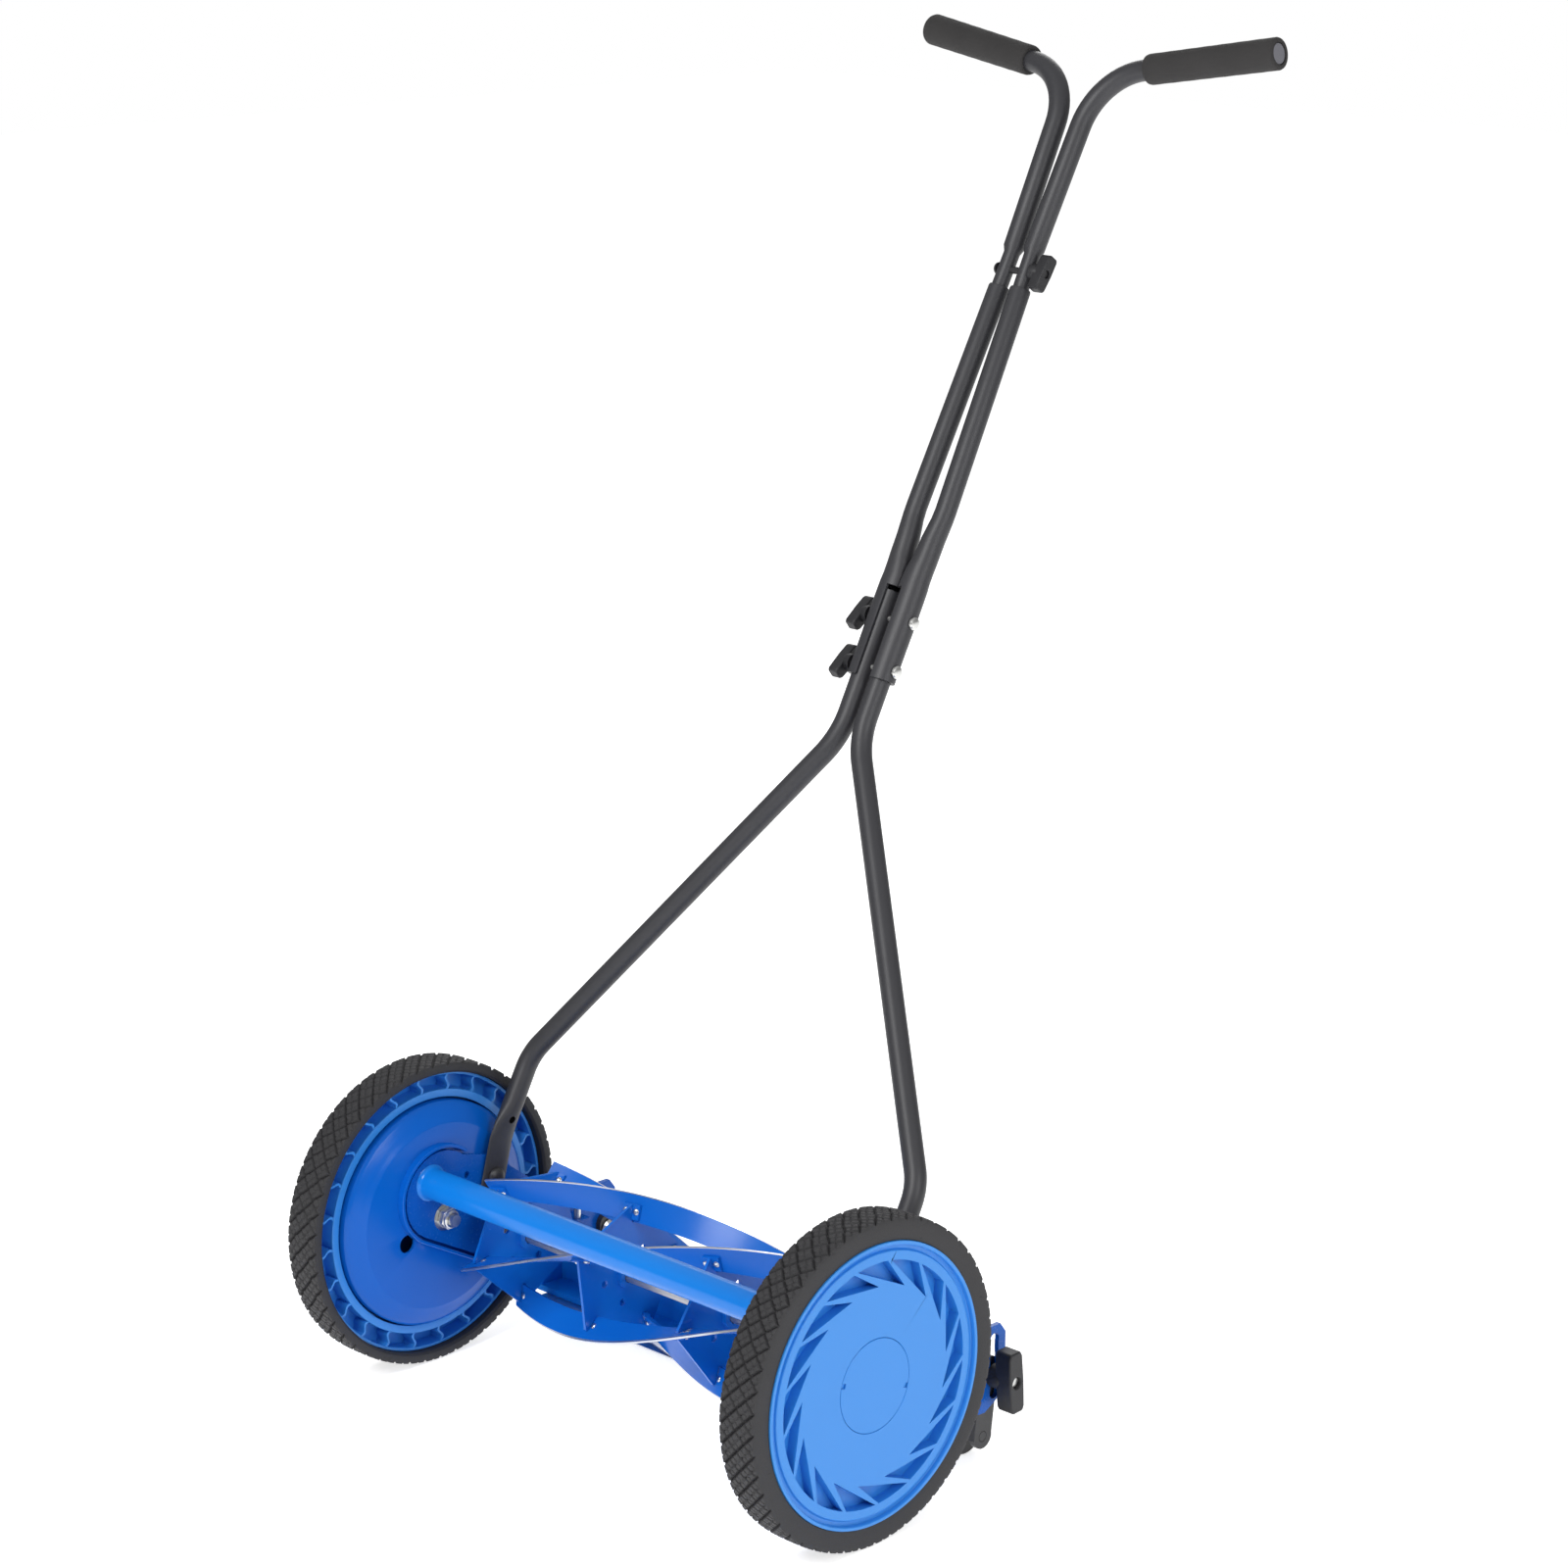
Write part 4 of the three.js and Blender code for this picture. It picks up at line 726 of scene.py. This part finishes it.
grip_start = corner + grip_way * (grip_x - corner_x) / grip_way[0]
grip_length = 122.0


def upper_x(run):
    reach = (run - neck_end_run) / (corner_run - neck_end_run)
    return middle_x(neck_end_run) + (corner_x - middle_x(neck_end_run)) * reach


upper_stops = [
    on_middle(neck_foot_run, neck), on_middle(neck_end_run - 1, neck),
    (up_handle(upper_x(neck_end_run + 4), neck_end_run + 4), 0, round_form), (corner, 54, round_form),
    (grip_start + grip_way * (grip_length - 2), 0, round_form),
]
across_handle = np.array((0, -math.sin(lay), math.cos(lay))) * 30


def slab(run_low, run_high, x_to):
    """A flat core across the handle, from past its middle to x_to and between two runs."""
    x_from = -14
    rings = []
    for run in (run_low, run_high):
        middle = up_handle(0, run)
        rings.append([middle - across_handle + (x_from, 0, 0), middle + across_handle + (x_from, 0, 0),
                      middle + across_handle + (x_to, 0, 0), middle - across_handle + (x_to, 0, 0)])
    return skin(rings)


for side in ("left", "right"):
    lower = make_piece("lower_handle_" + side, on_side(side, bent_tube(lower_stops)), [coat_grey], "handle",
                       ["lower_tube_" + side], 50)
    spare_y, spare_z = up_handle(0, 14)[1:]
    carve(lower, on_side(side, bore(206, 228, 3.1, 24, spare_y, spare_z)))
    middle_solid = on_side(side, bent_tube(middle_stops))
    middle = make_piece("middle_handle_" + side, middle_solid, [coat_grey], "handle",
                        ["middle_tube_" + side], 50)
    carve(middle, on_side(side, slab(430, 512, gather_x - 2.4)))
    carve(middle, on_side(side, slab(500, 575, 0.3)))
    upper = make_piece("upper_handle_" + side, on_side(side, bent_tube(upper_stops)), [coat_grey], "handle",
                       ["upper_tube_" + side], 50)

# ---- Grips: sleeves of black closed-cell foam pushed onto the bar ends, a little fatter at the outer end,
# with soft rims. A grey plastic plug closes each tube end.
foam = surface("closed-cell foam", (0.022, 0.021, 0.021), (0.034, 0.032, 0.032), 0.82, 0.98,
               2600, 30, 40, 0.9)
plug_grey = surface("grey plug plastic", (0.13, 0.13, 0.15), (0.17, 0.17, 0.19), 0.45, 0.6, 900, 30, 60, 0.1)


def along_grip(profile, steps=64):
    """A round solid about the grip's own axis from a closed loop of (distance out, radius)."""
    side_way = np.cross(grip_way, (0, 0, 1))
    side_way /= np.linalg.norm(side_way)
    up_way = np.cross(side_way, grip_way)
    rings = []
    for i in range(steps):
        a = 2 * math.pi * i / steps
        spoke = side_way * math.cos(a) + up_way * math.sin(a)
        rings.append([grip_start + grip_way * d + spoke * r for d, r in profile])
    return skin(rings, path_closed=True)


grip_steps, grip_radius, grip_flare = 24, 12.3, 0.6
grip_profile = [(0.2, 8.9), (0, 10.6), (0.5, 11.8), (2.2, grip_radius)]
for i in range(1, grip_steps):
    reach = 2.2 + (grip_length - 5) * i / grip_steps
    grip_profile.append((reach, grip_radius + grip_flare * i / grip_steps + 0.08 * math.sin(i * 1.9)))
grip_profile += [(grip_length - 2, 12.9), (grip_length - 0.6, 12.3), (grip_length, 11.2),
                 (grip_length - 0.1, 8.9)]
plug_profile = [(grip_length - 14, 0), (grip_length - 14, 7.1), (grip_length - 1.8, 7.1),
                (grip_length - 1.8, 8.5), (grip_length - 0.7, 8.0), (grip_length - 0.5, 0)]
for side in ("left", "right"):
    grip = make_piece("soft_grip_" + side, on_side(side, along_grip(grip_profile)), [foam], "handle",
                      ["foam_grip_" + side], 60)
    plug_solid = on_side(side, along_grip(plug_profile, 40))
    plug = make_piece("tube_end_plug_" + side, plug_solid, [plug_grey], "handle")

# ---- Bolts of the handle: silver pan heads at the lower joint, a black one at the upper joint,
# and black domed pivot bolts at the feet of the lower tubes.
black_paint = surface("black painted steel", (0.018, 0.018, 0.020), (0.030, 0.030, 0.033), 0.30, 0.5,
                      900, 20, 60, 0.12)
channel_face, neck_face, pan_radius = 23.2, 17.9, 5.2
dome_profile = [(209.4, 0), (209.5, 3.2), (210.3, 5.6), (211.6, 7.3), (213.2, 7.9), (213.9, 7.9), (213.9, 4),
                (222.8, 4), (222.8, 0)]


def pan_bolt(head_x, tip_x, run):
    way = math.copysign(1, head_x - tip_x)
    y, z = up_handle(0, run)[1:]
    profile = [(tip_x, 0), (tip_x, 2.9), (head_x, 2.9), (head_x, pan_radius),
               (head_x + way * 1.2, pan_radius), (head_x + way * 2.4, pan_radius * 0.84),
               (head_x + way * 3.1, pan_radius * 0.5), (head_x + way * 3.2, 0)]
    return turned(profile, 32, y, z)


for i, run in enumerate(lower_bolt_runs):
    bolt = make_piece("pan_bolt_%d" % (i + 1), pan_bolt(channel_face, -36.1, run), [zinc], "handle",
                      ["lower_joint_bolt_%d" % (i + 1)])
top_bolt = make_piece("pan_bolt_top", pan_bolt(-neck_face, 30.9, upper_bolt_run), [black_paint], "handle",
                      ["upper_joint_bolt"])
for side in ("left", "right"):
    dome = on_side(side, turned(dome_profile, 40, pivot_y, pivot_z))
    bolt = make_piece("domed_pivot_" + side, dome, [black_paint], "chassis", ["handle_pivot_bolt_" + side])

# ---- Wing knobs: black glass-filled nylon, moulded as long six-sided wings on a round stem.
# A hole through the middle takes the end of the bolt.
knob_black = surface("black knob plastic", (0.009, 0.009, 0.011), (0.015, 0.015, 0.018), 0.40, 0.6,
                     1500, 25, 60, 0.25)
wing_outline = [(-0.34, -0.5), (0.34, -0.5), (0.46, -0.42), (0.5, 0), (0.46, 0.42), (0.34, 0.5), (-0.34, 0.5),
                (-0.46, 0.42), (-0.5, 0), (-0.46, -0.42)]
handle_knob_size, height_knob_size = (30, 12, 15, 3.2), (50, 16, 23.5, 4.4)
height_knob_foot, height_bolt_y, height_bolt_z = 223.3, 174.5, -56.5


def wing_knob(node, size, foot_x, way, y, z, tilt):
    """A knob in place of a node of the same name; its size is (length, width, depth, hole radius)."""
    length, width, depth, hole = size
    c, s = math.cos(tilt), math.sin(tilt)
    wing = [(y + v * width * c - w * length * s, z + v * width * s + w * length * c) for v, w in wing_outline]
    solid = prism(wing, foot_x + way * depth * 0.34, foot_x + way * depth)
    knob = make_piece("wing_" + node, solid, [knob_black], node, [node])
    carve(knob, bore(foot_x, foot_x + way * (depth + 2), hole, 24, y, z))
    soften(knob, 1.3, 3, 25)
    stem_radius = width * 0.6
    stem = [(foot_x, hole), (foot_x, stem_radius), (foot_x + way * depth * 0.3, stem_radius),
            (foot_x + way * depth * 0.5, stem_radius * 0.85), (foot_x + way * depth * 0.5, hole)]
    stem_piece = make_piece("wing_" + node + "_stem", turned(stem, 32, y, z), [knob_black], node)


for i, run in enumerate(lower_bolt_runs):
    y, z = up_handle(0, run)[1:]
    tilt = lay - math.pi / 2 - math.radians(25)
    wing_knob("lower_joint_knob_%d" % (i + 1), handle_knob_size, -channel_face, -1, y, z, tilt)
y, z = up_handle(0, upper_bolt_run)[1:]
wing_knob("upper_joint_knob", handle_knob_size, neck_face, 1, y, z, math.radians(-35))
for side in ("left", "right"):
    way = 1 if side == "left" else -1
    foot = way * height_knob_foot
    wing_knob("height_knob_" + side, height_knob_size, foot, way, height_bolt_y, height_bolt_z,
              math.radians(4))

# ---- Rear roller: a black plastic roller with shallow rings, on a steel shaft between two black painted
# brackets that hang inside the side plates and slide on them to set the cutting height.
ring_count, ring_pitch, roller_radius, ring_radius = 9, 44, 20, 19.3
roller_profile = [(-202, 4.7), (-202, 18.6), (-201.2, 19.6), (-200, roller_radius)]
for i in range(ring_count):
    x = -176 + ring_pitch * i
    roller_profile += [(x - 2, roller_radius), (x - 1.2, ring_radius), (x + 1.2, ring_radius),
                       (x + 2, roller_radius)]
roller_profile += [(200, roller_radius), (201.2, 19.6), (202, 18.6), (202, 4.7)]
roller_solid = turned(roller_profile, 64, 167, -107)
roller = make_piece("ringed_roller", roller_solid, [knob_black], "roller", ["rear_roller"])
dress(["roller_bracket_left", "roller_bracket_right", "roller_shaft"], black_paint, 0.6)

bpy.context.view_layer.update()
